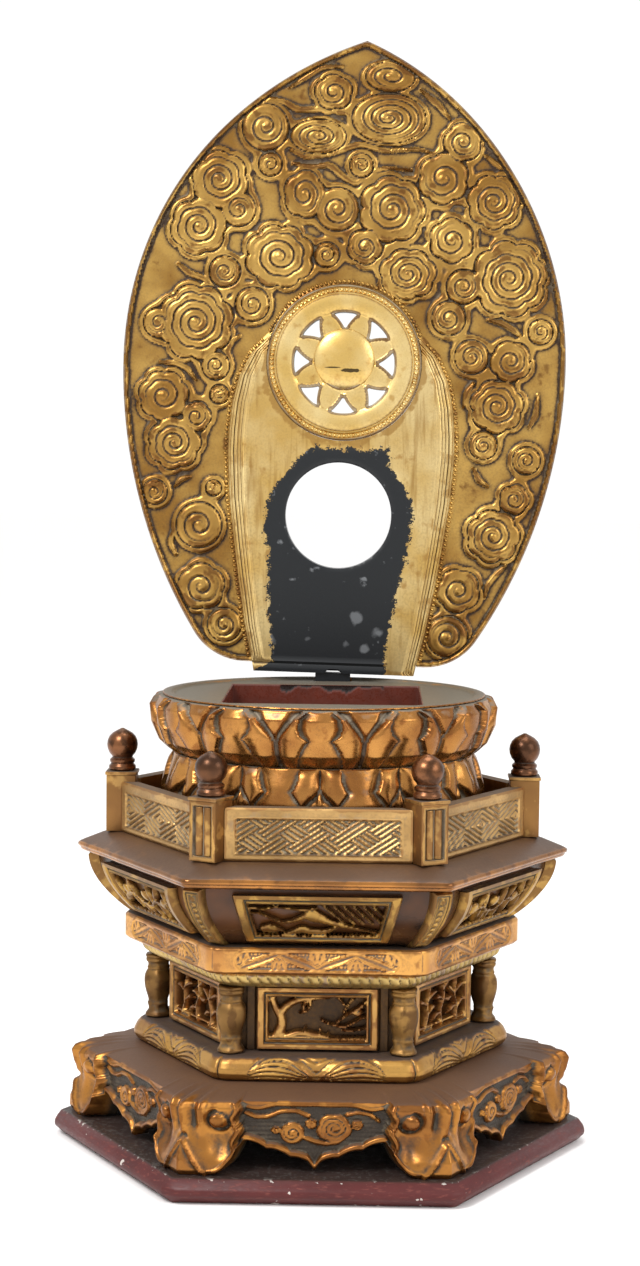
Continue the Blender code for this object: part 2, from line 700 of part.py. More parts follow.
def flare_panels():
    """Pierced bird and cloud panels that follow the swell of each face, wider at the top."""
    voids = (
        ((-0.93, 0.4), (-0.45, 0.45), (-0.55, 0.66), (-0.93, 0.72)),
        ((-0.5, 0.1), (-0.1, 0.12), (0.12, 0.3), (-0.12, 0.42), (-0.4, 0.3)),
        ((-0.3, 0.6), (0.1, 0.72), (0.2, 0.92), (-0.4, 0.92)),
        ((0.35, 0.6), (0.95, 0.78), (0.95, 0.93), (0.4, 0.92)),
        ((0.25, 0.1), (0.93, 0.12), (0.93, 0.42), (0.3, 0.36)),
    )
    low = FLARE_PANEL_LOW
    height = FLARE_PANEL_HIGH - low
    width = 2 * FLARE_PANEL_TOP
    mesh = pierced_panel("flare_panel", width, height, FLARE_PANEL_THICKNESS,
                         width - 2 * FLARE_PANEL_BORDER, height - 1.5 * FLARE_PANEL_BORDER, voids)
    bm = bmesh.new()
    bm.from_mesh(mesh)
    bpy.data.meshes.remove(mesh)
    for station in FLARE_STATIONS[1:-1]:
        everything = bm.verts[:] + bm.edges[:] + bm.faces[:]
        level = station * FLARE_HEIGHT - low
        bmesh.ops.bisect_plane(bm, geom=everything, dist=1e-7, plane_co=(0, 0, level),
                               plane_no=(0, 0, 1))
    for vertex in bm.verts:
        share = (low + vertex.co.z) / FLARE_HEIGHT
        rise = vertex.co.z / height
        taper = (FLARE_PANEL_FOOT + (FLARE_PANEL_TOP - FLARE_PANEL_FOOT) * rise) / FLARE_PANEL_TOP
        back = flare_radius(share) * CORNER_SHARE + GAP
        depth = FLARE_PANEL_THICKNESS - vertex.co.y
        vertex.co.x *= taper * (1 - 1.2 * depth)
        vertex.co.y = -back - depth
        vertex.co.z = FLARE_BASE + share * FLARE_HEIGHT
    repeat_round("flare_panel", mesh_from("flare_panel", bm), DUSTY_GILT)


def eave_slab():
    """Wide moulded eave that carries the railing, sloping to a rounded edge."""
    profile = (
        (0.0, EAVE_TOP), (EAVE_TOP_RADIUS, EAVE_TOP),
        (EAVE_RADIUS - 0.002, EAVE_BASE + 0.62 * EAVE_HEIGHT),
        (EAVE_RADIUS, EAVE_BASE + 0.45 * EAVE_HEIGHT),
        (EAVE_RADIUS - 0.001, EAVE_BASE + 0.2 * EAVE_HEIGHT),
        (EAVE_RADIUS - 0.004, EAVE_BASE + 0.12 * EAVE_HEIGHT),
        (FLARE_TOP_RADIUS + STRIP_THICKNESS, EAVE_BASE), (0.0, EAVE_BASE))
    add_part("eave_slab", turned_mesh("eave_slab", profile, SIDES), DUSTY_GILT)


def rail_posts():
    """Square posts with a sunk, reeded outer face, one at each corner of the railing."""
    half = POST_WIDTH / 2
    post = add_part("rail_post", outline_mesh("rail_post", [box_outline(half, 0, POST_HEIGHT)],
                                              -half, half), PALE_GILT)
    width = (POST_WIDTH - 2 * POST_BORDER) / POST_REEDS
    grooves = []
    for index in range(POST_REEDS):
        middle = -half + POST_BORDER + (index + 0.5) * width
        groove = box_outline((width - REED_GAP) / 2, POST_BORDER, POST_HEIGHT - POST_BORDER)
        grooves.append([(middle + across, up) for across, up in groove])
    cutter = add_cutter("post_reeds", outline_mesh("post_reeds", grooves, -POST_WIDTH,
                                                   -half + REED_DEPTH))
    combine(post, cutter, "DIFFERENCE")
    merge_flat(post)
    mesh = settled_mesh(post)
    bpy.data.objects.remove(post)
    bpy.data.objects.remove(cutter)
    mesh.transform(Matrix.Translation((0, -POST_CENTRE, RAIL_BASE)))
    repeat_round("rail_post", mesh, PALE_GILT, start=math.pi / SIDES)


def post_finials():
    """Onion-shaped finials on a stepped collar, one on each post."""
    profile = (
        (0.0, FINIAL_HEIGHT), (0.35 * FINIAL_RADIUS, 0.93 * FINIAL_HEIGHT),
        (0.86 * FINIAL_RADIUS, 0.78 * FINIAL_HEIGHT), (FINIAL_RADIUS, 0.58 * FINIAL_HEIGHT),
        (0.72 * FINIAL_RADIUS, 0.34 * FINIAL_HEIGHT), (0.9 * FINIAL_RADIUS, 0.24 * FINIAL_HEIGHT),
        (0.86 * FINIAL_RADIUS, 0.0), (0.0, 0.0))
    mesh = turned_mesh("post_finial", profile, SIDES)
    mesh.transform(Matrix.Translation((0, -POST_CENTRE, RAIL_BASE + POST_HEIGHT + GAP)))
    repeat_round("post_finial", mesh, BROWN_LACQUER, start=math.pi / SIDES)


def rail_panels():
    """Railing panels between the posts, framed, with a sunk zigzag fret."""
    reach = POST_CENTRE * math.sin(math.pi / SIDES)
    side = POST_WIDTH / 2 + GAP

    def end(depth):
        """Half length where the mitred end meets a post, at a depth behind the panel's front."""
        behind = depth - RAIL_THICKNESS / 2
        return reach - (side + behind * math.sin(math.pi / SIDES)) / CORNER_SHARE

    front = end(0)
    panel = add_part("rail_panel", outline_mesh("rail_panel", [box_outline(front, 0, RAIL_HEIGHT)],
                                                0, RAIL_THICKNESS), PALE_GILT)
    low = RAIL_BORDER
    high = RAIL_HEIGHT - RAIL_BORDER
    left = -front + RAIL_BORDER / 2
    step = (2 * front - RAIL_BORDER) / (FRET_POCKETS + 0.5)
    slant = step / 2
    bar = FRET_BAR
    pockets = []
    for index in range(FRET_POCKETS):
        foot = left + index * step + bar / 2
        pockets.append([(foot + bar, low), (foot + step - bar, low), (foot + slant, high - bar)])
        pockets.append([(foot + slant + bar, high), (foot + step, low + bar),
                        (foot + slant + step - bar, high)])
    cutter = add_cutter("fret", outline_mesh("fret", pockets, -RAIL_THICKNESS, FRET_DEPTH))
    combine(panel, cutter, "DIFFERENCE")
    merge_flat(panel)
    mesh = settled_mesh(panel)
    bpy.data.objects.remove(panel)
    bpy.data.objects.remove(cutter)
    for vertex in mesh.vertices:
        if abs(vertex.co.x) > front - 1e-5:
            vertex.co.x = math.copysign(end(vertex.co.y), vertex.co.x)
    mesh.transform(Matrix.Translation((0, -POST_APOTHEM - RAIL_THICKNESS / 2, RAIL_BASE)))
    repeat_round("rail_panel", mesh, PALE_GILT)


def petal_ring(radius, height, depth, offset, columns):
    """Ring of petals: full at each petal's middle and sunk in the valleys between them."""
    ring = []
    for index in range(PETALS * columns):
        across = 2 * ((index % columns) / columns) - 1
        angle = -math.pi / 2 + offset + (index / columns - 0.5) * 2 * math.pi / PETALS
        reach = radius - depth * abs(across) ** 3
        ring.append(Vector((reach * math.cos(angle), reach * math.sin(angle), height)))
    return ring


def lotus_lower():
    """Lower lotus: twelve down-turned petals that spread from the neck, tips at the foot."""
    shift = math.pi / PETALS
    rows = ((0.93, 0.0, 1.2), (0.97, 0.12, 1.3), (1.0, 0.35, 1.2), (1.0, 0.6, 0.8), (0.0, 1.0, 0.3))
    rings = []
    for share, rise, valley in rows:
        radius = LOTUS_LOWER_RADIUS * share if share else LOTUS_NECK_RADIUS
        rings.append(petal_ring(radius, LOTUS_BASE + rise * LOTUS_LOWER_HEIGHT,
                                valley * PETAL_DEPTH, shift, PETAL_FACETS))
    add_part("lotus_lower", loft("lotus_lower", rings), AMBER_GILT)


def lotus_upper():
    """Upper lotus: up-turned petals round a dished plate with a square well and a mortise."""
    rows = ((0.86, 0.0, 0.4), (0.945, 0.2, 0.9), (0.99, 0.5, 1.1), (1.0, 0.8, 0.8),
            (0.975, 0.93, 0.3))
    rings = [petal_ring(share * LOTUS_UPPER_RADIUS, UPPER_BASE + rise * LOTUS_UPPER_HEIGHT,
                        valley * PETAL_DEPTH, 0.0, PETAL_FACETS) for share, rise, valley in rows]
    rings.append(petal_ring(LOTUS_RIM_RADIUS, UPPER_TOP, 0.0, 0.0, PETAL_FACETS))
    rings.append(petal_ring(LOTUS_RIM_RADIUS - 2 * LOTUS_PLATE_DIP, PLATE_LEVEL, 0.0, 0.0,
                            PETAL_FACETS))
    part = add_part("lotus_upper", loft("lotus_upper", rings), AMBER_GILT)
    floor = UPPER_BASE + WELL_FLOOR
    well = add_cutter("statue_well", outline_mesh(
        "statue_well", [box_outline(WELL_WIDTH / 2, floor, UPPER_TOP + WELL_FLOOR)],
        -WELL_DEPTH / 2, WELL_DEPTH / 2))
    combine(part, well, "DIFFERENCE")
    half = TENON_THICKNESS / 2 + GAP
    slot = box_outline(TENON_WIDTH / 2 + GAP, PLATE_LEVEL - MORTISE_DEPTH, UPPER_TOP + WELL_FLOOR)
    mortise = add_cutter("mandorla_mortise", outline_mesh(
        "mandorla_mortise", [slot], TENON_MIDDLE - half, TENON_MIDDLE + half))
    mortise.location.x = MANDORLA_OFFSET
    combine(part, mortise, "DIFFERENCE")
    merge_flat(part)


def column_half_width(height):
    """Half width of the mandorla's middle column: a slow swell, then a quick turn to the ring."""
    if height < COLUMN_WIDEST:
        fall = ((COLUMN_WIDEST - height) / COLUMN_WIDEST) ** 1.8
        return COLUMN_HALF_WIDTH - (COLUMN_HALF_WIDTH - COLUMN_FOOT_HALF_WIDTH) * fall
    rise = (height - COLUMN_WIDEST) / (column_top() - COLUMN_WIDEST)
    shoulder = RING_RADIUS * math.cos(math.asin(SHOULDER_SHARE))
    return COLUMN_HALF_WIDTH - (COLUMN_HALF_WIDTH - shoulder) * rise ** 2.6


def column_top():
    """Height where the column's sides meet the ring."""
    return RING_HEIGHT + SHOULDER_SHARE * RING_RADIUS


def column_levels():
    """Heights at which the column and the opening round it turn."""
    rest = column_top() - COLUMN_WIDEST
    low = LOBE_FOOT + LOBE_LIFT
    return sorted((0.0, low, low + 0.35 * (COLUMN_WIDEST - low),
                   low + 0.7 * (COLUMN_WIDEST - low), COLUMN_WIDEST, LACQUER_TOP,
                   COLUMN_WIDEST + 0.5 * rest, COLUMN_WIDEST + 0.78 * rest, column_top()))


def mandorla_side(inset):
    """One side of the pointed outline from its lobe at the foot to its tip: three tangent arcs."""
    half = OUTLINE_HALF_WIDTH
    lower_centre = (half - OUTLINE_LOWER_ARC, OUTLINE_WIDEST)
    height = OUTLINE_TOP - OUTLINE_WIDEST
    upper_arc = (half ** 2 + height ** 2) / (2 * half)
    upper_centre = (half - upper_arc, OUTLINE_WIDEST)
    lobe_height = LOBE_FOOT + LOBE_RADIUS
    reach = OUTLINE_LOWER_ARC - LOBE_RADIUS
    drop = lobe_height - OUTLINE_WIDEST
    lobe_centre = (lower_centre[0] + math.sqrt(reach ** 2 - drop ** 2), lobe_height)
    turn = math.asin(drop / reach)
    tip = math.acos((upper_arc - half) / (upper_arc - inset))
    points = arc_points(lobe_centre, LOBE_RADIUS - inset, -math.pi / 2, turn, 3)
    points += arc_points(lower_centre, OUTLINE_LOWER_ARC - inset, turn, 0.0, 4)[1:]
    points += arc_points(upper_centre, upper_arc - inset, 0.0, tip, 7)[1:]
    return points


def drift(point):
    """The carver's tip leans a little to the right of the middle line."""
    rise = max(0.0, (point[1] - OUTLINE_WIDEST) / (OUTLINE_TOP - OUTLINE_WIDEST))
    return (point[0] + TIP_DRIFT * rise ** 4, point[1])


def both_sides(side):
    """Close a right-hand side, listed from foot to tip, with its mirror image."""
    left = [(-across, up) for across, up in reversed(side[:-1])]
    return side + left


def mandorla_surround(frame):
    """Pointed board carved with cloud whorls inside a raised rim, open round the column."""
    outline = [drift(point) for point in both_sides(mandorla_side(0.0))]
    levels = column_levels()[1:]
    notch = [(-column_half_width(height) - GAP, height) for height in levels]
    start = math.asin(SHOULDER_SHARE)
    arch = arc_points((0.0, RING_HEIGHT), RING_RADIUS + 2 * GAP, math.pi - start, start,
                      RING_FACETS // 2 - 2)
    notch += arch[1:-1]
    notch += [(-across, up) for across, up in reversed(notch[:len(levels)])]
    mesh = outline_mesh("mandorla_surround", [outline + notch], 0.0, BOARD_BACK)
    part = add_part("mandorla_surround", mesh, PALE_GILT, frame)
    field = [drift(point) for point in both_sides(mandorla_side(RIM_WIDTH))]
    sunk = add_cutter("mandorla_field", outline_mesh("mandorla_field", [field], -BOARD_THICKNESS,
                                                     FIELD_RECESS), frame)
    combine(part, sunk, "DIFFERENCE")
    root = 1.5 * FIELD_RECESS
    clouds = add_cutter("mandorla_clouds", whorl_mesh(
        "mandorla_clouds", spaced(CLOUD_WHORLS), root, root - FIELD_RECESS + WHORL_HEIGHT,
        WHORL_POINTS), frame)
    combine(part, clouds, "UNION")
    merge_flat(part)


def column_ring(height):
    """Section of the column at one height: ridged edges and a sunk lacquered middle."""
    half = column_half_width(max(height, 0.0))
    inner = half - COLUMN_RIDGES
    field = min(LACQUER_HALF_WIDTH, inner - 0.004)
    sunk = COLUMN_RELIEF if height < LACQUER_TOP else 0.0
    front = FIELD_RECESS - COLUMN_RELIEF
    side = ((half, front), (inner, front), (inner - 0.001, FIELD_RECESS),
            (field, FIELD_RECESS), (field - 0.001, FIELD_RECESS + sunk))
    across = [(-x, y) for x, y in side] + [(x, y) for x, y in reversed(side)]
    across += [(half, BOARD_BACK), (-half, BOARD_BACK)]
    return [Vector((x, y, height)) for x, y in across]


def halo_panel(frame):
    """Column behind the statue: ridged sides, sunk black field, round hole, foot and tenon."""
    part = add_part("halo_panel", loft("halo_panel", [column_ring(level)
                                                      for level in column_levels()]),
                    BLACK_LACQUER, frame)
    hole = add_cutter("column_hole", outline_mesh("column_hole", [
        arc_points((0.0, HOLE_HEIGHT), HOLE_RADIUS, 0.0, 2 * math.pi, 24)[:-1]],
        -BOARD_THICKNESS, 2 * BOARD_BACK), frame)
    combine(part, hole, "DIFFERENCE")
    seat = add_cutter("ring_seat", outline_mesh("ring_seat", [
        arc_points((0.0, RING_HEIGHT), RING_RADIUS + 2 * GAP, 0.0, 2 * math.pi, RING_FACETS)[:-1]],
        -BOARD_THICKNESS, 2 * BOARD_BACK), frame)
    combine(part, seat, "DIFFERENCE")
    middle = BOARD_BACK / 2
    tenon_foot = PLATE_LEVEL - MORTISE_DEPTH + 2 * GAP - MANDORLA_BASE
    tenon = add_cutter("tenon", outline_mesh("tenon", [box_outline(
        TENON_WIDTH / 2 - 2 * GAP, tenon_foot, 0.004)], middle - TENON_THICKNESS / 2,
        middle + TENON_THICKNESS / 2), frame)
    combine(part, tenon, "UNION")
    merge_flat(part)


def head_halo(frame):
    """Pierced lotus in a ring: a domed boss, eight petals and a beaded edge."""
    disc = [arc_points((0.0, 0.0), RING_RADIUS, 0.0, 2 * math.pi, RING_FACETS)[:-1]]
    for index in range(HALO_PETALS):
        angle = math.pi / 2 + index * 2 * math.pi / HALO_PETALS
        spread = OPENWORK_SHARE * math.pi / HALO_PETALS
        inner = BOSS_RADIUS + BOSS_MARGIN
        disc.append([(inner * math.cos(angle), inner * math.sin(angle)),
                     (OPENWORK_RADIUS * math.cos(angle + spread),
                      OPENWORK_RADIUS * math.sin(angle + spread)),
                     (OPENWORK_RADIUS * math.cos(angle - spread),
                      OPENWORK_RADIUS * math.sin(angle - spread))])
    mesh = outline_mesh("head_halo", disc, 0.0, BOARD_BACK)
    part = add_part("head_halo", mesh, PALE_GILT, frame)
    part.location.z = RING_HEIGHT
    groove_outer = RING_RADIUS - RING_BEADS
    sunk = arc_points((0.0, 0.0), groove_outer, 0.0, 2 * math.pi, RING_FACETS)[:-1]
    trough = add_cutter("halo_trough", outline_mesh("halo_trough", [sunk], -FIELD_RECESS,
                                                    FIELD_RECESS), part)
    combine(part, trough, "DIFFERENCE")
    bm = bmesh.new()
    lean = Matrix.Translation((0, FIELD_RECESS, 0)) @ Matrix.Rotation(math.pi / 2, 4, "X")
    bmesh.ops.create_cone(bm, cap_ends=True, segments=12, radius1=BOSS_RADIUS,
                          radius2=0.6 * BOSS_RADIUS, depth=3 * FIELD_RECESS, matrix=lean)
    boss = add_cutter("halo_boss", mesh_from("halo_boss", bm), part)
    combine(part, boss, "UNION")
    merge_flat(part)


def mandorla():
    """The three pieces of the mandorla, on one leaning frame behind the lotus plate."""
    frame = bpy.data.objects.new("mandorla_frame", None)
    parts.objects.link(frame)
    frame.location = MANDORLA_PLACE
    frame.rotation_euler.y = MANDORLA_LEAN
    mandorla_surround(frame)
    halo_panel(frame)
    head_halo(frame)


plinth_board()
skirt()
wave_moulding()
waist_block()
waist_panels()
balusters()
rope_band()
slab()
flare_body()
flare_strips()
flare_panels()
eave_slab()
rail_posts()
post_finials()
rail_panels()
lotus_lower()
lotus_upper()
mandorla()
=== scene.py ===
"""Carved and gilded lotus pedestal with its railing and pointed mandorla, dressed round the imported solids.

Metres, +Z up, the front faces -Y. Sizes in the sections are in millimetres and are scaled by MM.
"""
import math

import bpy
import numpy as np
from mathutils import Matrix, Vector


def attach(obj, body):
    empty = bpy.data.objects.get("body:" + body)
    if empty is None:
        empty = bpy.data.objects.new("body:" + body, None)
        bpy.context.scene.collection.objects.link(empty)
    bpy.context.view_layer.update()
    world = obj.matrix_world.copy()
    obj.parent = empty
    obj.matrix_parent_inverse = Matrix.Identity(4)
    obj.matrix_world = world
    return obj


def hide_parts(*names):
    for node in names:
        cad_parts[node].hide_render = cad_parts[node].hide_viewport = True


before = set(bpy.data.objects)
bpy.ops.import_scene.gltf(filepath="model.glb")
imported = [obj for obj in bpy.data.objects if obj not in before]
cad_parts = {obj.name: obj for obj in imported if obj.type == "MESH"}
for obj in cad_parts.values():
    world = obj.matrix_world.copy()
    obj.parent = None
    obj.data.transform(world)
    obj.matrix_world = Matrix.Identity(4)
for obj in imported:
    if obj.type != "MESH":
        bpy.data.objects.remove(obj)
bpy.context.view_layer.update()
MM = 0.001
bpy.ops.object.select_all(action="DESELECT")


# Camera, floor and light. The object was photographed from the front and slightly turned, on a
# pale table under soft light, so the camera is turned round it and the floor and sky are pale.
CAMERA_DISTANCE = 1.513
CAMERA_HEIGHT = 0.4375
CAMERA_ACROSS = -0.0029
CAMERA_PITCH = math.radians(4.3)
CAMERA_ROLL = math.radians(0.64)
CAMERA_TURN = math.radians(1.21)
FOCAL_PIXELS = 2400
PHOTO_HEIGHT = 1266

bpy.ops.object.camera_add()
camera = bpy.context.object
camera.data.lens = camera.data.sensor_width * FOCAL_PIXELS / PHOTO_HEIGHT
stand = Matrix.Translation((CAMERA_ACROSS, -CAMERA_DISTANCE, CAMERA_HEIGHT))
aim = Matrix.Rotation(math.pi / 2 - CAMERA_PITCH, 4, "X") @ Matrix.Rotation(CAMERA_ROLL, 4, "Z")
camera.matrix_world = Matrix.Rotation(CAMERA_TURN, 4, "Z") @ stand @ aim
bpy.context.scene.camera = camera

bpy.context.scene.view_settings.view_transform = "Standard"
world = bpy.data.worlds.new("pale_sky")
world.use_nodes = True
world.node_tree.nodes["Background"].inputs["Color"].default_value = (1.0, 1.0, 1.0, 1.0)
world.node_tree.nodes["Background"].inputs["Strength"].default_value = 1.04
bpy.context.scene.world = world

for light_name, place, size, power in (
        ("key_light", (-0.9, -1.1, 1.7), 0.7, 30.0),
        ("fill_light", (1.3, -0.9, 1.0), 0.9, 9.0),
        ("top_light", (0.1, 0.3, 1.9), 0.8, 10.0)):
    bpy.ops.object.light_add(type="AREA", location=place)
    light = bpy.context.object
    light.name = light_name
    light.data.size = size
    light.data.energy = power
    light.rotation_euler = (Vector((0, 0, 0.3)) - Vector(place)).to_track_quat("-Z", "Y").to_euler()


def linear(hex_colour):
    """The linear colour of an sRGB hex value, with full alpha."""
    channels = [int(hex_colour[start:start + 2], 16) / 255 for start in (0, 2, 4)]
    return (*[c / 12.92 if c <= 0.04045 else ((c + 0.055) / 1.055) ** 2.4 for c in channels], 1.0)


def node(tree, kind, inputs=None, out=0, **settings):
    """Add a shader node with its settings, each input a value or a socket, and give one output."""
    made = tree.nodes.new("ShaderNode" + kind)
    for name, value in settings.items():
        setattr(made, name, value)
    for name, value in (inputs or {}).items():
        if isinstance(value, bpy.types.NodeSocket):
            tree.links.new(value, made.inputs[name])
        else:
            made.inputs[name].default_value = value
    return made.outputs[out]


bpy.ops.mesh.primitive_plane_add(size=30)
floor = bpy.context.object
floor.name = "floor"
table_top = bpy.data.materials.new("white_table")
table_top.use_nodes = True
table_top.node_tree.nodes["Principled BSDF"].inputs["Base Color"].default_value = linear("FCFBFA")
table_top.node_tree.nodes["Principled BSDF"].inputs["Roughness"].default_value = 0.7
floor.data.materials.append(table_top)


# Plinth board: a six-sided board in dark red lacquer, its corners clipped, its arrises knocked
# and chipped to the pale ground, soot on its flat top. The whole pedestal stands loose on it.
PLINTH_RADIUS = 172.5
PLINTH_HEIGHT = 15.0
PLINTH_CORNER = 6.0
PLINTH_ARRIS = 1.3
# Middles of the larger knocks, and how wide each is
KNOCKS = (((62, -150, 6), 5.5), ((-118, -96, 10), 8.0), ((-14, -150, 9), 4.0), ((6, -150, 3), 3.5),
          ((-40, -150, 13), 4.0), ((-146, -45, 12), 5.0), ((104, -116, 7), 3.0), ((150, 40, 5), 5.0),
          ((20, 150, 10), 6.0), ((-90, 150, 4), 4.5))


def shade(piece, smooth_degrees):
    """Select a piece alone and smooth its faces up to an angle."""
    bpy.ops.object.select_all(action="DESELECT")
    piece.select_set(True)
    bpy.context.view_layer.objects.active = piece
    bpy.ops.object.shade_smooth_by_angle(angle=math.radians(smooth_degrees))


def settle(piece, material, slot, *nodes, smooth_degrees=45):
    """Give a finished piece its shading and material, and set it on the frame for its solids."""
    shade(piece, smooth_degrees)
    piece.data.materials.clear()
    piece.data.materials.append(material)
    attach(piece, "root")
    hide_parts(*nodes)


bpy.ops.mesh.primitive_cylinder_add(
    vertices=6, radius=PLINTH_RADIUS * MM, depth=PLINTH_HEIGHT * MM, rotation=(0, 0, math.pi / 6),
    location=(0, 0, PLINTH_HEIGHT / 2 * MM))
plinth = bpy.context.object
plinth.name = "plinth_board_lacquered"
bpy.ops.object.transform_apply(location=True, rotation=True, scale=True)
heights = [vertex.co.z for vertex in plinth.data.vertices]
for edge in plinth.data.edges:
    edge.select = abs(heights[edge.vertices[0]] - heights[edge.vertices[1]]) > PLINTH_HEIGHT / 2 * MM
bpy.ops.object.mode_set(mode="EDIT")
bpy.ops.mesh.select_mode(type="EDGE")
bpy.ops.mesh.bevel(offset=PLINTH_CORNER * MM, segments=1)
bpy.ops.object.mode_set(mode="OBJECT")
arris = plinth.modifiers.new("arris", "BEVEL")
arris.width = PLINTH_ARRIS * MM
arris.segments = 3
arris.angle_limit = math.radians(40)
bpy.ops.object.modifier_apply(modifier="arris")

# Old dark red lacquer: brownish red with a low sheen, scuffed, pale ground in its chips and a
# sooty top where the hand never wiped it
red_lacquer = bpy.data.materials.new("worn_red_lacquer")
red_lacquer.use_nodes = True
tree = red_lacquer.node_tree
place = node(tree, "TexCoord", out="Object")
height = node(tree, "SeparateXYZ", {0: place}, "Z")
cloudy = node(tree, "TexNoise", {"Vector": place, "Scale": 1 / (30 * MM), "Detail": 4.0})
fine = node(tree, "TexNoise", {"Vector": place, "Scale": 1 / (2.6 * MM), "Detail": 5.0})
streaky = node(tree, "Mapping", {"Vector": place, "Scale": (1, 1, 5)})
scratch = node(tree, "TexNoise", {"Vector": streaky, "Scale": 1 / (6 * MM), "Detail": 5.0})
colour = node(tree, "Mix", {0: cloudy, 6: linear("361010"), 7: linear("5E2220")}, 2, data_type="RGBA")
rubbed = node(tree, "MapRange", {0: scratch, 1: 0.56, 2: 0.72})
colour = node(tree, "Mix", {0: rubbed, 6: colour, 7: linear("6A342D")}, 2, data_type="RGBA")
from_middle = node(tree, "Math", {0: height, 1: -PLINTH_HEIGHT / 2 * MM}, operation="ADD")
to_arris = node(tree, "Math", {0: from_middle, 1: 2 / (PLINTH_HEIGHT * MM)}, operation="MULTIPLY")
to_arris = node(tree, "Math", {0: to_arris, 1: 6.0}, operation="POWER")
chips = node(tree, "Math", {0: to_arris, 1: 0.16, 2: fine}, operation="MULTIPLY_ADD")
patchy = node(tree, "TexNoise", {"Vector": place, "Scale": 1 / (17 * MM), "Detail": 2.0})
patchy = node(tree, "MapRange", {0: patchy, 1: 0.62, 2: 0.76, 4: 0.22})
chips = node(tree, "Math", {0: chips, 1: patchy}, operation="ADD")
for middle, width in KNOCKS:
    away = node(tree, "VectorMath", {0: place, 1: [value * MM for value in middle]}, "Value",
                operation="DISTANCE")
    near = node(tree, "MapRange", {0: away, 1: 0.5 * width * MM, 2: 0.0, 3: 0.0, 4: 0.55})
    chips = node(tree, "Math", {0: chips, 1: near}, operation="ADD")
chip = node(tree, "MapRange", {0: chips, 1: 0.735, 2: 0.76})
colour = node(tree, "Mix", {0: chip, 6: colour, 7: linear("B9B0A8")}, 2, data_type="RGBA")
facing = node(tree, "SeparateXYZ", {0: node(tree, "NewGeometry", out="Normal")}, "Z")
sooty = node(tree, "MapRange", {0: facing, 1: 0.7, 2: 0.95, 4: 0.93})
soot = node(tree, "Mix", {0: cloudy, 6: linear("1C1817"), 7: linear("3A302B")}, 2, data_type="RGBA")
colour = node(tree, "Mix", {0: sooty, 6: colour, 7: soot}, 2, data_type="RGBA")
shader = tree.nodes["Principled BSDF"]
shader.inputs["Specular IOR Level"].default_value = 0.3
tree.links.new(colour, shader.inputs["Base Color"])
tree.links.new(node(tree, "MapRange", {0: scratch, 1: 0.3, 2: 0.8, 3: 0.36, 4: 0.62}),
               shader.inputs["Roughness"])
raised = node(tree, "Math", {0: chip, 1: -1.5, 2: fine}, operation="MULTIPLY_ADD")
tree.links.new(node(tree, "Bump", {"Strength": 0.4, "Distance": 0.3 * MM, "Height": raised}),
               shader.inputs["Normal"])
settle(plinth, red_lacquer, "red_lacquer", "plinth_board", smooth_degrees=30)


# Skirt: the carved and gilded base, hollow below. Six aprons with a cusped gilt hem and clouds on
# a stippled dark ground hang between six feet carved as draped leaves with a round button.
FACE_SLOPE = math.tan(math.pi / 6)
CORNER_SHARE = math.cos(math.pi / 6)
SKIRT_APOTHEM = 130.0
HALF_FACE = SKIRT_APOTHEM * FACE_SLOPE
SKIRT_FOOT = 15.3
SKIRT_TOP = 61.8
APRON_TOP = 57.4
# Apothem where the seat board above covers the top, and the hollow inside: top, hem, and height
SKIRT_SEAT = 104.0
HOLLOW_APOTHEMS = (118.0, 120.5)
HOLLOW_TOP = 48.8
SKIRT_GRAIN = 0.92
SKIRT_ROWS = 48
FOOT_START = 42.0
APRON_RISE = 18.5
LIP = 4.0
FIELD_DEPTH = 2.0
# Clouds of an apron, not alike on its two halves: across, up, half width, half height, hand, lobes
APRON_WHORLS = (
    (11.5, 41.8, 10.2, 8.4, 1, 5), (-13.2, 38.6, 7.2, 6.4, -1, 0), (25.0, 44.0, 3.4, 3.1, -1, 0),
    (-2.2, 44.4, 3.4, 3.0, 1, 0), (-22.8, 40.2, 2.8, 2.2, 1, 0))
APRON_TAILS = (
    ((-41, 50.5, 1.3), (-35, 48.0, 1.5), (-28, 48.2, 1.5), (-20, 51.6, 1.5), (-11, 52.0, 1.5), (-4, 49, 1.3)),
    ((-6, 36, 1.5), (-1, 34.2, 1.7), (6, 32.6, 1.6), (13, 33.2, 1.3), (17, 35.6, 1.0)),
    ((19, 50, 1.4), (26, 51.6, 1.4), (33, 50.2, 1.3), (38, 46.5, 0.9)),
)
# Height of the foot's outward sweep at points up the leg
LEG_HEIGHTS = (15.3, 18, 24, 31, 38, 44, 50, 54, 57.4)
LEG_SWEEP = (7.4, 9.0, 8.8, 6.4, 4.4, 3.8, 5.0, 5.8, 3.8)
# Button of a foot: how far from the corner, how high, and its radius
BUTTON = (20.5, 47.0, 4.6)
KNOT_HEIGHT = 37.0
TOE_ACROSS = 15.0


def dome(share):
    """Height of a half round: 1 at its middle, 0 at a share of 1 and beyond."""
    return np.sqrt(np.clip(1 - share ** 2, 0, 1))


def cord(share):
    """Section of a rounded strand across its width, with a sharp groove at each side."""
    return dome(2 * (share % 1.0) - 1)


def one_cord(share):
    """Section of a single strand, next to nothing outside a share of 0 to 1."""
    return cord(np.clip(share, 0, 0.999))


def smooth(value, low, high):
    """Nothing up to low and one from high on, with a smooth step between."""
    share = np.clip((value - low) / (high - low), 0, 1)
    return share * share * (3 - 2 * share)


def mound(value, middle, half):
    """One at the middle, falling smoothly to nothing at half a width to each side."""
    return 1 - smooth(np.abs(value - middle), 0, half)


def stipple(across, up, pitch):
    """Close punched dots, in staggered rows, from 0 to 1."""
    row = np.floor(up / pitch)
    column = (across / pitch + 0.5 * (row % 2)) % 1.0 - 0.5
    away = np.hypot(column, (up / pitch) % 1.0 - 0.5)
    return 1 - smooth(away, 0.15, 0.5)


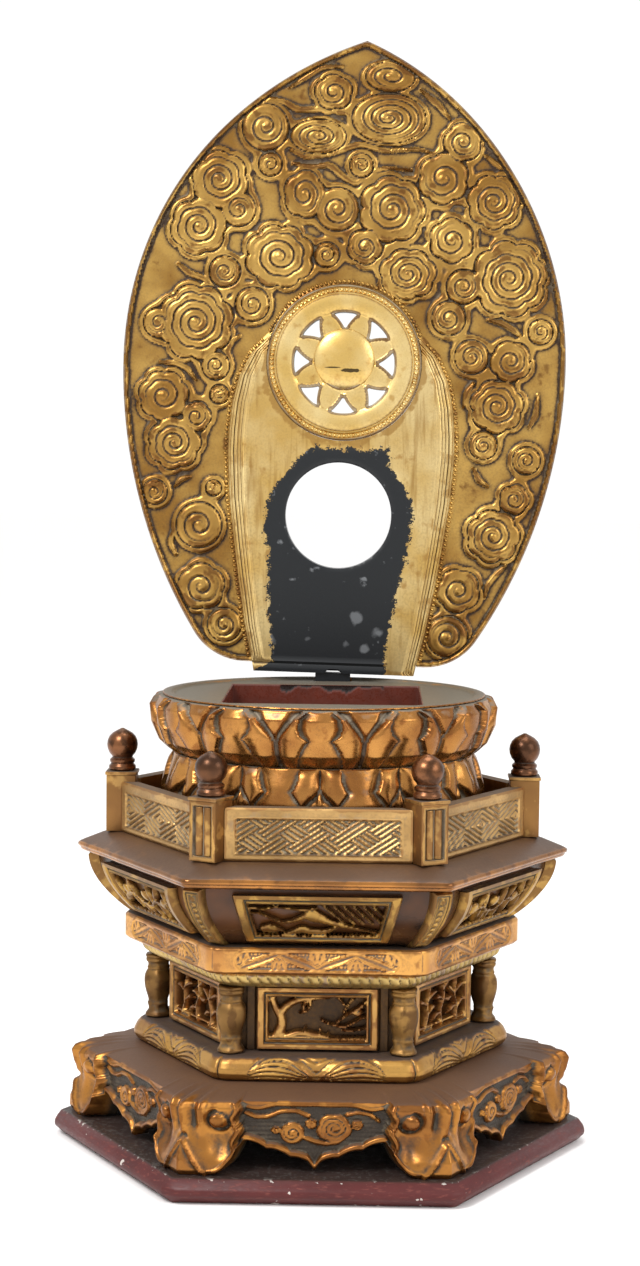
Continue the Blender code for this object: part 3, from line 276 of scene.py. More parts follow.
def whorl_relief(across, up, whorls, strand, height):
    """Height of a field of whorls, how far each point is from the nearest of them, and the same
    distance blended between neighbours."""
    nearest = np.full(across.shape, 1e3)
    gentle = np.zeros(across.shape)
    level = np.zeros(across.shape)
    for middle, middle_up, half, half_up, hand, lobes in whorls:
        away_x, away_y = across - middle, up - middle_up
        angle = np.arctan2(away_y, away_x)
        radius = np.hypot(away_x, away_y * half / half_up)
        if lobes:
            rim_share = smooth(radius / half, 0.35, 0.95)
            bulge = np.abs(np.cos(lobes * (angle + 0.13 * middle) / 2)) ** 0.7 - 0.65
            radius = radius / (1 + 0.13 * rim_share * bulge)
        turns = max(2, round(half / strand))
        pitch = half / (turns + 0.5)
        turn = radius / pitch - hand * angle / (2 * math.pi) + 0.02 * middle_up
        near_rim = smooth(half - radius, 0.2 * pitch, 1.1 * pitch)
        ring = radius / pitch - turns + 0.5
        section = cord(turn) * near_rim + cord(ring) * (1 - near_rim)
        eye = np.clip(1 - (radius / (0.75 * pitch)) ** 2, 0, 1)
        crown = 1 - 0.25 * (radius / half) ** 2
        uneven = 0.84 + 0.16 * np.cos(2 * angle + middle)
        body = height * (0.42 * crown + 0.58 * np.maximum(section * uneven, 1.1 * eye))
        gap = radius - half
        here = gap < nearest
        level = np.where(here & (gap < 0), body, level)
        nearest = np.minimum(nearest, gap)
        gentle += np.exp(-gap / 2.2)
    return level, nearest, -2.2 * np.log(gentle + 1e-9)


def strokes(across, up, lines, height):
    """Height of rounded strokes, and how far each point is outside the nearest of them, up to 3 mm.

    Each line is a list of points with the stroke's half width there."""
    level = np.zeros(across.shape)
    nearest = np.full(across.shape, 3.0)
    for line in lines:
        line = np.array(line, float)
        stations = np.linspace(0, len(line) - 1, 8 * len(line))
        line = np.stack([np.interp(stations, range(len(line)), line[:, axis]) for axis in range(3)], 1)
        for _ in range(4):
            line[1:-1] = (line[:-2] + line[2:] + 2 * line[1:-1]) / 4
        reach = line[:, 2].max() + 3
        near = (across > line[:, 0].min() - reach) & (across < line[:, 0].max() + reach) & (
            up > line[:, 1].min() - reach) & (up < line[:, 1].max() + reach)
        away = np.hypot(across[near][:, None] - line[:, 0], up[near][:, None] - line[:, 1])
        share = (away / line[:, 2]).min(-1)
        level[near] = np.maximum(level[near], height * dome(share))
        nearest[near] = np.minimum(nearest[near], (away - line[:, 2]).min(-1))
    return level, nearest


def hexagon(share, out, corner, up):
    """Points round one face of a six-sided tier: the share of its half width, the face's distance
    from the axis, the radius of the upright edges, and the height."""
    turn = np.arctan(share * FACE_SLOPE)
    flat_end = np.arctan2((out - corner) * FACE_SLOPE, out)
    middle = (out - corner) / CORNER_SHARE
    from_corner = math.pi / 6 - np.abs(turn)
    round_part = np.sqrt(np.maximum(corner ** 2 - (middle * np.sin(from_corner)) ** 2, 0))
    reach = np.where(np.abs(turn) <= flat_end, out / np.cos(turn),
                     middle * np.cos(from_corner) + round_part)
    return np.stack([reach * np.sin(turn), -reach * np.cos(turn), up + 0 * reach], -1)


def new_piece(name, points, faces):
    """A mesh object from points in metres, selected and active."""
    mesh = bpy.data.meshes.new(name)
    mesh.from_pydata(points.tolist(), [], faces)
    piece = bpy.data.objects.new(name, mesh)
    bpy.context.scene.collection.objects.link(piece)
    bpy.ops.object.select_all(action="DESELECT")
    piece.select_set(True)
    bpy.context.view_layer.objects.active = piece
    return piece


def rotated(x, y, turn):
    """A point turned about the upright axis."""
    return x * math.cos(turn) - y * math.sin(turn), x * math.sin(turn) + y * math.cos(turn)


def turned_round(sector, copies, start=0.0):
    """Rows of points of one sector, repeated round the axis into whole rings."""
    rings = []
    for copy in range(copies):
        turn = start + copy * 2 * math.pi / copies
        x, y, z = np.moveaxis(sector, -1, 0)
        rings.append(np.stack([*rotated(x, y, turn), z], -1))
    return np.concatenate(rings, 1)


def ring_piece(name, rings):
    """Closed piece through rings of points in millimetres, flat at both ends."""
    rows, columns = rings.shape[:2]
    index = np.arange(rows * columns).reshape(rows, columns)
    beside = np.roll(index, -1, 1)
    quads = np.stack([index[:-1], beside[:-1], beside[1:], index[1:]], -1).reshape(-1, 4).tolist()
    return new_piece(name, rings.reshape(-1, 3) * MM, quads + [index[0][::-1].tolist(), index[-1].tolist()])


def mark(piece, name, values):
    """Keep a value for each point of a piece, for its material to read."""
    attribute = piece.data.attributes.new(name, "FLOAT", "POINT")
    attribute.data.foreach_set("value", np.broadcast_to(values, len(piece.data.vertices)).astype(np.float32))


def mark_hollows(piece, passes, depth_mm, least=0.0):
    """Keep on each point how far it lies below its surroundings: 0 on a crest, 1 in a groove."""
    mesh = piece.data
    count = len(mesh.vertices)
    points = np.zeros(count * 3)
    mesh.vertices.foreach_get("co", points)
    points = points.reshape(-1, 3)
    normals = np.zeros(count * 3)
    mesh.vertices.foreach_get("normal", normals)
    ends = np.zeros(len(mesh.edges) * 2, int)
    mesh.edges.foreach_get("vertices", ends)
    first, second = ends.reshape(-1, 2).T
    share = np.maximum(np.bincount(first, minlength=count) + np.bincount(second, minlength=count), 1)
    soft = points.copy()
    for _ in range(passes):
        soft = np.stack([(np.bincount(first, soft[second, axis], count)
                          + np.bincount(second, soft[first, axis], count)) / share
                         for axis in range(3)], 1)
    sunk = ((soft - points) * normals.reshape(-1, 3)).sum(1)
    mark(piece, "hollow", np.maximum(np.clip(0.5 + sunk / (2 * depth_mm * MM), 0, 1), least))


def worn_gilt(name, leaf, warm, shade, rubbed, dust, dusty, roughness, soot=None):
    """Gold leaf over gesso and red bole: metallic on the crests, rubbed to the bole in patches, with
    grey dust where dusty lets it lie. Down in the grooves, by the hollow attribute, it goes dull and
    over to the shade colour, brown dirt and painted shade together. Its level tops can be sooty."""
    material = bpy.data.materials.new(name)
    material.use_nodes = True
    tree = material.node_tree
    place = node(tree, "TexCoord", out="Object")
    hollow = node(tree, "Attribute", out="Fac", attribute_name="hollow")
    patch = node(tree, "TexNoise", {"Vector": place, "Scale": 1 / (34 * MM), "Detail": 3.0})
    blotch = node(tree, "TexNoise", {"Vector": place, "Scale": 1 / (9 * MM), "Detail": 4.0})
    grain = node(tree, "TexNoise", {"Vector": place, "Scale": 1 / (1.7 * MM), "Detail": 4.0})
    facing = node(tree, "SeparateXYZ", {0: node(tree, "NewGeometry", out="Normal")}, "Z")
    tone = node(tree, "MapRange", {0: patch, 1: 0.38, 2: 0.62})
    colour = node(tree, "Mix", {0: tone, 6: linear(leaf), 7: linear(warm)}, 2, data_type="RGBA")
    # Grooves are painted darker towards the shade colour: part brown dirt, part painted shade
    broken = node(tree, "Math", {0: grain, 1: 0.28, 2: hollow}, operation="MULTIPLY_ADD")
    groove_dirt_and_shade = node(tree, "MapRange", {0: broken, 1: 0.62, 2: 0.9})
    colour = node(tree, "Mix", {0: groove_dirt_and_shade, 6: colour, 7: linear(shade)}, 2, data_type="RGBA")
    raised = node(tree, "Math", {0: hollow, 1: -0.5, 2: blotch}, operation="MULTIPLY_ADD")
    worn = node(tree, "MapRange", {0: raised, 1: 0.36, 2: 0.46, 4: 0.75})
    colour = node(tree, "Mix", {0: worn, 6: colour, 7: linear(rubbed)}, 2, data_type="RGBA")
    lying = node(tree, "Math", {0: blotch, 1: 0.9, 2: broken}, operation="MULTIPLY_ADD")
    lying = node(tree, "Math", {0: facing, 1: 0.25, 2: lying}, operation="MULTIPLY_ADD")
    cover = node(tree, "MapRange", {0: lying, 1: 1.45 - dusty, 2: 1.85 - dusty, 4: 0.8})
    colour = node(tree, "Mix", {0: cover, 6: colour, 7: linear(dust)}, 2, data_type="RGBA")
    groove_dirt_and_shade = node(tree, "Math", {0: groove_dirt_and_shade, 1: 0.7}, operation="MULTIPLY")
    dull = node(tree, "Math", {0: cover, 1: groove_dirt_and_shade}, operation="MAXIMUM")
    if soot:
        level = node(tree, "Math", {0: blotch, 1: 0.3, 2: facing}, operation="MULTIPLY_ADD")
        level = node(tree, "MapRange", {0: level, 1: 0.85, 2: 1.02, 4: 0.94})
        colour = node(tree, "Mix", {0: level, 6: colour, 7: linear(soot)}, 2, data_type="RGBA")
        dull = node(tree, "Math", {0: dull, 1: level}, operation="MAXIMUM")
    shader = tree.nodes["Principled BSDF"]
    tree.links.new(colour, shader.inputs["Base Color"])
    tree.links.new(node(tree, "MapRange", {0: dull, 1: 1.0, 2: -0.1}), shader.inputs["Metallic"])
    rough = node(tree, "Math", {0: grain, 1: 0.2, 2: roughness - 0.1}, operation="MULTIPLY_ADD")
    rough = node(tree, "Math", {0: dull, 1: 0.35, 2: rough}, operation="MULTIPLY_ADD")
    tree.links.new(rough, shader.inputs["Roughness"])
    tree.links.new(node(tree, "Bump", {"Strength": 0.25, "Distance": 0.2 * MM, "Height": grain}),
                   shader.inputs["Normal"])
    return material


def hem(place):
    """Height of the skirt's lower edge: a cusped apron, then a foot that comes down to the plinth."""
    into_foot = (place - FOOT_START) / (HALF_FACE - FOOT_START)
    foot = APRON_RISE * np.clip(1 - into_foot / 0.45, 0, None) ** 2
    share = place / FOOT_START
    pendant = 1.0 + 0.16 * APRON_RISE * np.minimum(share / 0.09, 1)
    apron = pendant + 0.78 * APRON_RISE * share + 1.6 * np.abs(np.sin(share * 3 * math.pi)) ** 0.7
    return SKIRT_FOOT + np.where(place >= FOOT_START, foot, apron)


def apron_out(across, up):
    """Distance of the apron's surface from the axis: rolled hem, sunk field, carved clouds."""
    place = np.abs(across)
    above = up - hem(place)
    top_line = 54.6 - 2.4 * smooth(place, 22, 34) + 1.2 * smooth(place, 34, 42)
    inside = smooth(above, LIP - 0.6, LIP + 0.4) * (1 - smooth(up, top_line - 0.6, top_line + 0.4))
    lip = 1.7 * one_cord(above / LIP)
    clouds, nearest, _ = whorl_relief(across, up, APRON_WHORLS, 3.3, 3.2)
    tails, _ = strokes(across, up, APRON_TAILS, 2.3)
    ground = 0.5 * stipple(place, up, 2.6)
    carving = np.maximum(np.where(nearest < 0, clouds, ground), tails)
    line = 0.7 * one_cord((up - top_line - 0.4) / 1.8)
    return SKIRT_APOTHEM + lip + line - FIELD_DEPTH * inside + carving * inside


def foot_out(place, up):
    """Distance of a foot's surface from the axis: knee folds, a dished leaf with a round button,
    and the turned-up tongue between the two leaves."""
    from_corner = HALF_FACE - place
    sweep = np.interp(up, LEG_HEIGHTS, LEG_SWEEP)
    folds = 2.2 * np.cos(2 * math.pi * from_corner / 11) * smooth(up, 36, 48) * (
        1 - smooth(from_corner, 12, 15))
    beyond = (from_corner * (KNOT_HEIGHT - SKIRT_FOOT) + (up - KNOT_HEIGHT) * TOE_ACROSS) / math.hypot(
        KNOT_HEIGHT - SKIRT_FOOT, TOE_ACROSS)
    ridge = 2.6 * np.exp(-(beyond / 1.3) ** 2) * (1 - smooth(up, 36, 40))
    leaf = smooth(beyond, 0.5, 4.0)
    dish = -4.2 * mound(from_corner, 21, 11) * mound(up, 33, 14) * leaf
    knot = -3.5 * np.exp(-(from_corner ** 2 + (up - KNOT_HEIGHT) ** 2) / 5)
    edge = place - leaf_edge(up)
    roll = 1.8 * one_cord(edge / 3.6) * (up > 24)
    hem_roll = 1.5 * one_cord((up - hem(place)) / 3.6) * leaf
    across, middle_up, radius = BUTTON
    turn = np.arctan2(up - middle_up, from_corner - across)
    away = np.hypot(from_corner - across, up - middle_up)
    button = 0.6 + 3.4 * dome(away / radius)
    curl = -2.2 * mound(away, radius + 1.5, 1.8) * (1 - smooth(np.cos(turn - 0.9), 0.4, 0.9))
    veins = 0.25 * np.cos(from_corner / 1.35 + 0.25 * up) * leaf * mound(up, 32, 15)
    surface = sweep + folds + ridge + dish + knot + np.maximum(roll, hem_roll) + veins + curl
    return SKIRT_APOTHEM + np.maximum(surface, np.where(away < radius, sweep + button, -9))


def leaf_edge(up):
    """How far along the face a foot's leaf begins, in soft scallops."""
    return FOOT_START + 1.4 + 1.5 * np.cos(2 * math.pi * (up - 47) / 13)


shares = np.linspace(-1, 1, int(2 * HALF_FACE / SKIRT_GRAIN) + 1)[:-1]
place = np.abs(shares) * HALF_FACE
rise = np.linspace(0, 1, SKIRT_ROWS)[:, None]
up = hem(place) + (APRON_TOP - hem(place)) * rise
step = smooth(place - leaf_edge(up), -0.8, 0.4)
out = apron_out(shares * HALF_FACE + 0 * up, up) * (1 - step) + foot_out(place + 0 * up, up) * step
front = hexagon(shares, out, 0.0, up)
inward = np.linspace(0, 1, 14)[1:, None]
folds = 1.6 * np.cos(2 * math.pi * (HALF_FACE - place) / 11) * smooth(place, HALF_FACE - 15, HALF_FACE - 11)
top_up = APRON_TOP + (SKIRT_TOP - APRON_TOP) * np.sin(inward * math.pi / 2) ** 0.8 + folds * (
    1 - inward) ** 2 * inward ** 0.3
top = hexagon(shares, out[-1] + (SKIRT_SEAT - out[-1]) * inward, 0.0, top_up)
inner = [hexagon(shares, HOLLOW_APOTHEMS[0], 0.0, HOLLOW_TOP),
         hexagon(shares, HOLLOW_APOTHEMS[1], 0.0, hem(place) + 0.5)]
rings = turned_round(np.concatenate([np.stack(inner), front, top]), 6)
skirt = ring_piece("skirt_carved", rings)
# The skirt's inner walls are pushed fully into the groove colour: painted shade inside the hollow base. The
# aprons' sunk fields are darkened most of the way too.
shade_inside_dark_field = np.zeros(rings.shape[:2])
shade_inside_dark_field[:2] = 1.0
field = (out < SKIRT_APOTHEM - 1.3) & (step < 0.5)
shade_inside_dark_field[2:2 + SKIRT_ROWS] = np.tile(0.8 * field, 6)
mark_hollows(skirt, 5, 0.9, shade_inside_dark_field.ravel())
skirt_gilt = worn_gilt("skirt_gilt", "A87234", "805228", "2A2014", "70441F", "5E523F", 0.06, 0.32, "543A28")
settle(skirt, skirt_gilt, "amber_gilt", "skirt", smooth_degrees=60)


# Wave moulding: a gilt cushion moulding with plain rounded knobs at its corners and, on each face,
# a reserve of combed waves that sweep in from both ends and lap over one another in the middle.
WAVE_APOTHEM = 105.0
WAVE_HALF = WAVE_APOTHEM * FACE_SLOPE
WAVE_FOOT = 62.1
WAVE_TOP = 76.8
WAVE_CORNER = 15.0
WAVE_SEAT = 84.0
WAVE_RESERVE = 42.0
WAVE_GRAIN = 0.95
COMB = 5


def wave_relief(along, rise):
    """Depth of the combed waves below the cushion's surface."""
    place = np.abs(along)
    edge = WAVE_RESERVE - 5 * smooth(rise, 0.3, 1.0) + 1.5 * smooth(rise, 0.3, 0.0)
    run = np.clip((edge - place) / WAVE_RESERVE, 0, 1)
    swell = 0.12 + 0.95 * np.sin(math.pi * run ** 0.62) ** 0.9
    phase = rise / swell
    lower = 1.5 * cord(np.clip(phase, 0, 0.999) * COMB)
    over = (rise - swell) / np.maximum(1.15 - swell, 0.2)
    upper = 1.3 * cord(np.clip(over * (COMB - 2) + 0.35 * run, 0, 9))
    crest = 0.7 * mound(phase, 0.97, 0.1)
    combed = np.where(phase < 1, lower + 0.5, upper - 0.3 + crest)
    return (combed - 1.8) * smooth(edge - place, 0, 1.4)


shares = np.linspace(-1, 1, int(2 * WAVE_HALF / WAVE_GRAIN) + 1)[:-1]
rise = np.linspace(0.02, 0.97, 24)[:, None]
along = shares * WAVE_HALF
belly = np.interp(rise, (0, 0.12, 0.3, 0.5, 0.75, 0.9, 1), (-3.4, -1.0, 0.3, 0.2, -1.4, -3.2, -5.4))
split = -1.1 * np.exp(-((WAVE_HALF - np.abs(along)) / 0.8) ** 2)
out = WAVE_APOTHEM + belly + wave_relief(along, rise) + split
body = hexagon(shares, out, WAVE_CORNER, WAVE_FOOT + rise * (WAVE_TOP - WAVE_FOOT))
foot = hexagon(shares, WAVE_APOTHEM - 4.2, WAVE_CORNER, WAVE_FOOT)
shoulder = hexagon(shares, WAVE_APOTHEM - 8.0, WAVE_CORNER, WAVE_TOP)
seat = hexagon(shares, WAVE_SEAT, 6.0, WAVE_TOP)
wave = ring_piece("wave_moulding_carved", turned_round(
    np.concatenate([foot[None], body, shoulder[None], seat[None]]), 6))
mark_hollows(wave, 5, 0.9)
wave_gilt = worn_gilt("wave_gilt", "B58A48", "906636", "2E2118", "7A4E2A", "746A5A", 0.12, 0.34, "3A2E28")
settle(wave, wave_gilt, "amber_gilt", "wave_moulding", smooth_degrees=60)


# Waist block: the plain dark core that the pierced panels are pinned to, with a narrow gilt
# pilaster left standing at both ends of every face.
WAIST_APOTHEM = 88.5
WAIST_FOOT = 77.1
WAIST_TOP = 117.5
BLOCK_APOTHEM = 81.7
BLOCK_HALF = BLOCK_APOTHEM * FACE_SLOPE
PILASTER = (37.4, 43.0)
PILASTER_FACE = 85.0
steps = (PILASTER[0] - 0.02, PILASTER[0], PILASTER[0] + 0.7, PILASTER[1] - 0.7, PILASTER[1])
outs = (BLOCK_APOTHEM, PILASTER_FACE - 0.5, PILASTER_FACE, PILASTER_FACE, PILASTER_FACE - 0.6)
plan = [(0.0, BLOCK_APOTHEM), *zip(steps, outs), (PILASTER[1] + 0.1, BLOCK_APOTHEM)]
plan = [(-x, out) for x, out in plan[:0:-1]] + plan
corner_point = (-BLOCK_HALF, BLOCK_APOTHEM)
level = np.array([(x, -out, WAIST_FOOT) for x, out in (corner_point, *plan)])
rings = turned_round(np.stack([level, level + (0, 0, WAIST_TOP - WAIST_FOOT)]), 6)
block = ring_piece("waist_block_plain", rings)
mark(block, "hollow", 0.55)
block_gilt = worn_gilt("block_gilt", "5C4226", "453220", "1E1710", "3E2A1A", "4A4236", 0.1, 0.45)
settle(block, block_gilt, "brown_lacquer", "waist_block", smooth_degrees=20)


# Waist panels: six pierced panels in moulded gilt frames, each cut from one board. Front and back
# show an old tree leaning over grass with bamboo beside it, the other four sprays of leaves.
PANEL_WIDTH = 73.4
PANEL_HEIGHT = 37.0
PANEL_THICKNESS = 6.5
OPENING = (29.3, 5.75, 31.25)
PANEL_GRAIN = 0.82
PANEL_FOOT = WAIST_FOOT + (WAIST_TOP - WAIST_FOOT - PANEL_HEIGHT) / 2
# Strokes of wood: points across and up from the opening's lower left, with half widths
TREE = (
    ((5, -1, 4.2), (6.5, 4, 3.4), (8, 9, 3.0), (7, 14, 2.6), (9.5, 19, 2.6),
     (15, 22.6, 2.3), (22, 24.6, 2.0), (36, 25.6, 1.5)),
    ((7.4, 12, 2.4), (4.6, 17, 2.2), (3, 21, 2.2), (1.6, 26, 2.0)),
    ((25, 24, 1.2), (25, 20.6, 1.2), (22.5, 16.4, 1.1), (18.4, 15.6, 0.8)),
    ((23, 22.5, 1.2), (20.4, 20, 1.5), (21, 17.6, 0.8)),
    ((31.6, 11.6, 0.8), (34, 10, 0.9), (38.8, 8.4, 1.1), (45.9, 7.4, 1.2), (52.5, 11, 1.2), (59, 14.5, 1.1)),
    ((39.8, 8.9, 0.9), (47.4, 15, 1.1), (52.5, 18, 1.4), (55.4, 21, 0.8)),
    ((44.6, 5.4, 0.9), (51, 5.4, 1.1), (59, 7, 1.1)),
    ((44.9, 16, 0.8), (48.5, 22, 1.0), (52, 26, 1.0)), ((50, 16.4, 0.9), (53.4, 15.4, 1.9), (57, 17.2, 0.8)),
    ((53, 17.6, 0.9), (56.4, 20, 1.2), (59, 25, 1.0)), ((41, 26, 1.2), (43.6, 23.6, 1.2), (45, 21, 0.6)),
    ((-1, 0.8, 2.0), (12, 1.0, 1.4), (24, 0.5, 1.2), (38, 0.6, 1.1), (60, 0.6, 1.3)),
    ((11, 1, 2.4), (17, 3.2, 2.3), (24, 2.8, 2.2), (30, 2.0, 1.9), (36, 1.0, 1.4)),
    ((21, 3, 1.0), (22, 5.8, 1.2), (22.4, 7, 0.6)), ((32, 1, 0.9), (31.4, 4, 0.8), (30.6, 6, 0.4)),
    ((35.4, 1, 1.0), (36, 3.4, 0.7))
)
SPRAY = (
    ((-1, 2, 1.6), (14, 1.6, 1.4), (34, 2, 1.5), (60, 1.4, 1.6)),
    ((8, 0, 1.6), (12, 8, 1.5), (11, 16, 1.3), (15, 26, 1.3)), ((12, 9, 1.0), (18, 13, 1.9), (23, 13, 0.6)),
    ((11, 15, 1.0), (5, 18, 1.9), (0, 18, 1.0)), ((12, 18, 1.0), (18, 21, 1.9), (24, 22, 0.6)),
    ((30, 0, 1.6), (28, 9, 1.5), (33, 17, 1.4), (31, 26, 1.3)), ((28, 8, 1.0), (22, 7, 1.9), (18, 4, 0.7)),
    ((32, 15, 1.0), (26, 18, 1.8), (22, 17, 0.6)), ((32, 16, 1.0), (38, 14, 2.0), (43, 16, 0.7)),
    ((48, 0, 1.6), (50, 8, 1.5), (46, 16, 1.4), (49, 26, 1.3)), ((50, 7, 1.0), (55, 11, 2.0), (59, 11, 1.0)),
    ((49, 9, 1.0), (43, 8, 1.9), (39, 5, 0.6)), ((47, 15, 1.0), (41, 21, 1.9), (37, 22, 0.6)),
    ((47, 17, 1.0), (53, 20, 1.9), (59, 21, 1.0)), ((30, 21, 1.0), (35, 24, 1.6), (39, 26, 0.8)),
)


def carve(name, columns, rows, edge, place, back, filled=False, closed_round=False):
    """Closed carved board from a grid of points in its own two directions.

    Cells outside the edge line are left out and the border points are drawn onto it. place gives
    each point's position in space, and back that of the same point behind. A filled back is one
    flat face. A grid that is closed round joins its last column to its first."""
    across, up = np.meshgrid(columns, rows)
    after = np.roll(across, -1, 1)
    if closed_round:
        after[:, -1] = across[:, -1] + columns[1] - columns[0]
    middle = edge((across[:-1] + after[1:]) / 2, (up[:-1] + up[1:]) / 2)
    kept = middle < 0
    if not closed_round:
        kept[:, -1] = False
    padded = np.pad(kept, ((1, 1), (0, 0))).astype(int)
    around = padded[:-1] + padded[1:]
    around = around + np.roll(around, 1, 1)
    border = (around > 0) & (around < 4)
    u, v = across[border], up[border]
    step = 0.05
    for _ in range(4):
        value = edge(u, v)
        slope_u = (edge(u + step, v) - edge(u - step, v)) / (2 * step)
        slope_v = (edge(u, v + step) - edge(u, v - step)) / (2 * step)
        size = np.maximum(slope_u ** 2 + slope_v ** 2, 0.3)
        shift = np.clip(value / size, -0.7, 0.7)
        u, v = u - shift * slope_u, v - shift * slope_v
    across[border], up[border] = u, v
    used = around > 0
    index = np.full(across.shape, -1)
    index[used] = np.arange(used.sum())
    beside = np.roll(index, -1, 1)
    cells = np.stack([index[:-1], beside[:-1], beside[1:], index[1:]], -1)[kept]
    front = np.stack(place(across[used], up[used]), 1)
    sides = np.concatenate([cells[:, [i, (i + 1) % 4]] for i in range(4)])
    keys = set(map(tuple, sides.tolist()))
    walls = np.array([side for side in keys if (side[1], side[0]) not in keys])
    if not filled:
        behind = np.stack(back(across[used], up[used]), 1)
        shift = len(front)
        quads = np.concatenate([cells, cells[:, ::-1] + shift, np.stack(
            [walls[:, 1], walls[:, 0], walls[:, 0] + shift, walls[:, 1] + shift], 1)])
        return new_piece(name, np.concatenate([front, behind]), quads.tolist())
    rim = np.unique(walls)
    behind = np.searchsorted(rim, walls) + len(front)
    back_points = np.stack(back(across[used][rim], up[used][rim]), 1)
    quads = np.concatenate([cells, np.stack([walls[:, 1], walls[:, 0], behind[:, 0], behind[:, 1]], 1)])
    piece = new_piece(name, np.concatenate([front, back_points]), quads.tolist())
    bpy.ops.object.mode_set(mode="EDIT")
    bpy.ops.mesh.select_mode(type="EDGE")
    bpy.ops.mesh.select_all(action="DESELECT")
    bpy.ops.mesh.select_non_manifold()
    bpy.ops.mesh.fill(use_beauty=False)
    bpy.ops.mesh.select_all(action="SELECT")
    bpy.ops.mesh.normals_make_consistent(inside=False)
    bpy.ops.object.mode_set(mode="OBJECT")
    return piece


def board(name, half, height, grain, place, back, cut=None, filled=False):
    """Carved board of a half width and a height, cut through where cut is positive."""
    def edge(across, up):
        outside = np.maximum(np.abs(across) - half, np.maximum(-up, up - height))
        return np.maximum(cut(across, up), outside) if cut else outside

    columns = np.arange(-half, half + grain, grain)
    return carve(name, columns, np.arange(0, height + grain, grain), edge, place, back, filled)


def frame_gap(across, up, half, low, high):
    """How far a point is inside the opening of a frame; negative on the frame itself."""
    return np.minimum(half - np.abs(across), np.minimum(up - low, high - up))


def frame_relief(gap, border):
    """Height of a frame's mouldings by the distance from its opening: a ridge, a groove, a flat."""
    outward = -gap
    inner = 1.6 * one_cord(outward / 2.0)
    flat = 1.9 * smooth(outward, 2.6, 3.4) + 0.4 * (outward > 2.2)
    fall = 1 - 0.5 * smooth(outward, border - 0.8, border)
    return np.where(outward > 0, np.maximum(inner, flat) * fall, 0)


def pierced(name, drawing, half, low, high, size, grain, border, place, back):
    """Pierced panel: strokes of wood inside a moulded frame, on the grid of its own face."""
    def carving(across, up):
        return strokes(across + half, up - low, drawing, 2.6)

    def cut(across, up):
        return np.minimum(frame_gap(across, up, half, low, high), carving(across, up)[1])

    def front(across, up):
        gap = frame_gap(across, up, half, low, high)
        height = np.where(gap > 0, 0.4 + carving(across, up)[0], 2.2 + frame_relief(gap, border))
        return place(across, up, 4.2 - height)

    return board(name, size[0] / 2, size[1], grain, front, back, cut)


def on_face(across, up, depth, turn):
    """A point of a waist panel stood on its face of the block, in metres."""
    out = WAIST_APOTHEM + 0.9 - depth
    return (*rotated(across * MM, -out * MM, turn), (PANEL_FOOT + up) * MM)


waist_gilt = worn_gilt("waist_gilt", "B48A4E", "8C6236", "2A2018", "70482A", "70675A", 0.15, 0.36)
for face in range(6):
    turn = face * math.pi / 3
    panel = pierced(
        f"waist_panel_pierced_{face + 1}", TREE if face % 3 == 0 else SPRAY, *OPENING,
        (PANEL_WIDTH, PANEL_HEIGHT), PANEL_GRAIN, (PANEL_WIDTH / 2 - OPENING[0]),
        lambda across, up, depth: on_face(across, up, depth, turn),
        lambda across, up: on_face(across, up, PANEL_THICKNESS + 0.7, turn))
    mark_hollows(panel, 3, 0.8)
    settle(panel, waist_gilt, "amber_gilt", f"waist_panel_{face + 1}")


# Balusters: six free-standing vases at the corners of the waist, cut with six flats, on a flared
# foot with a small leaf and under a square capital, their gold gone brown with dust.
BALUSTER_CENTRE = 103.8
BALUSTER_PROFILE = (
    (6.8, 0.0), (8.6, 0.4), (8.4, 2.0), (7.0, 3.2), (5.9, 5.0), (5.5, 7.6), (6.4, 8.6), (5.8, 9.6),
    (7.2, 13.5), (8.9, 19.0), (9.3, 23.5), (9.0, 27.0), (7.6, 29.6), (6.6, 30.6), (7.6, 31.4), (6.7, 32.2),
    (6.6, 35.0), (8.0, 35.6), (8.2, 37.6), (7.3, 38.0), (8.4, 38.6), (8.4, 40.3), (6.0, 40.4))


def turned(name, profile, steps, centre):
    """Piece turned from a profile of radii and heights about an upright line through the centre."""
    angles = np.arange(steps) * 2 * math.pi / steps
    profile = np.array(profile)
    radii = profile[:, :1]
    rings = np.stack([centre[0] + radii * np.cos(angles), centre[1] + radii * np.sin(angles),
                      centre[2] + profile[:, 1:] + 0 * angles], -1)
    return ring_piece(name, rings)


baluster_gilt = worn_gilt("baluster_gilt", "8C6A3A", "64482A", "221A12", "543A22", "6A604E", 0.25, 0.44)
for corner in range(6):
    turn = (corner - 1) * math.pi / 3
    vase = turned(f"baluster_carved_{corner + 1}", BALUSTER_PROFILE, 24, (BALUSTER_CENTRE, 0, WAIST_FOOT))
    points = np.array([vertex.co for vertex in vase.data.vertices]) / MM
    x, y, z = points[:, 0] - BALUSTER_CENTRE, points[:, 1], points[:, 2] - WAIST_FOOT
    angle = np.arctan2(y, x)
    flat = math.cos(math.pi / 6) / np.cos((angle + math.pi / 6) % (math.pi / 3) - math.pi / 6)
    radius = np.hypot(x, y) * (0.35 + 0.65 * flat / math.cos(math.pi / 6) * 0.97)
    radius = radius + 1.3 * np.exp(-((z - 5 - 3 * np.abs(np.cos(angle * 1.5))) / 1.3) ** 2) * (z > 2.5)
    moved = np.stack([BALUSTER_CENTRE + radius * np.cos(angle), radius * np.sin(angle), points[:, 2]], 1)
    vase.data.vertices.foreach_set("co", (moved * MM).ravel())
    vase.rotation_euler.z = turn
    bpy.ops.object.transform_apply(location=False, rotation=True, scale=False)
    smoothing = vase.modifiers.new("smooth_turning", "SUBSURF")
    smoothing.levels = smoothing.render_levels = 1
    bpy.ops.object.modifier_apply(modifier="smooth_turning")
    mark_hollows(vase, 6, 1.0)
    settle(vase, baluster_gilt, "dusty_gilt", f"baluster_{corner + 1}")


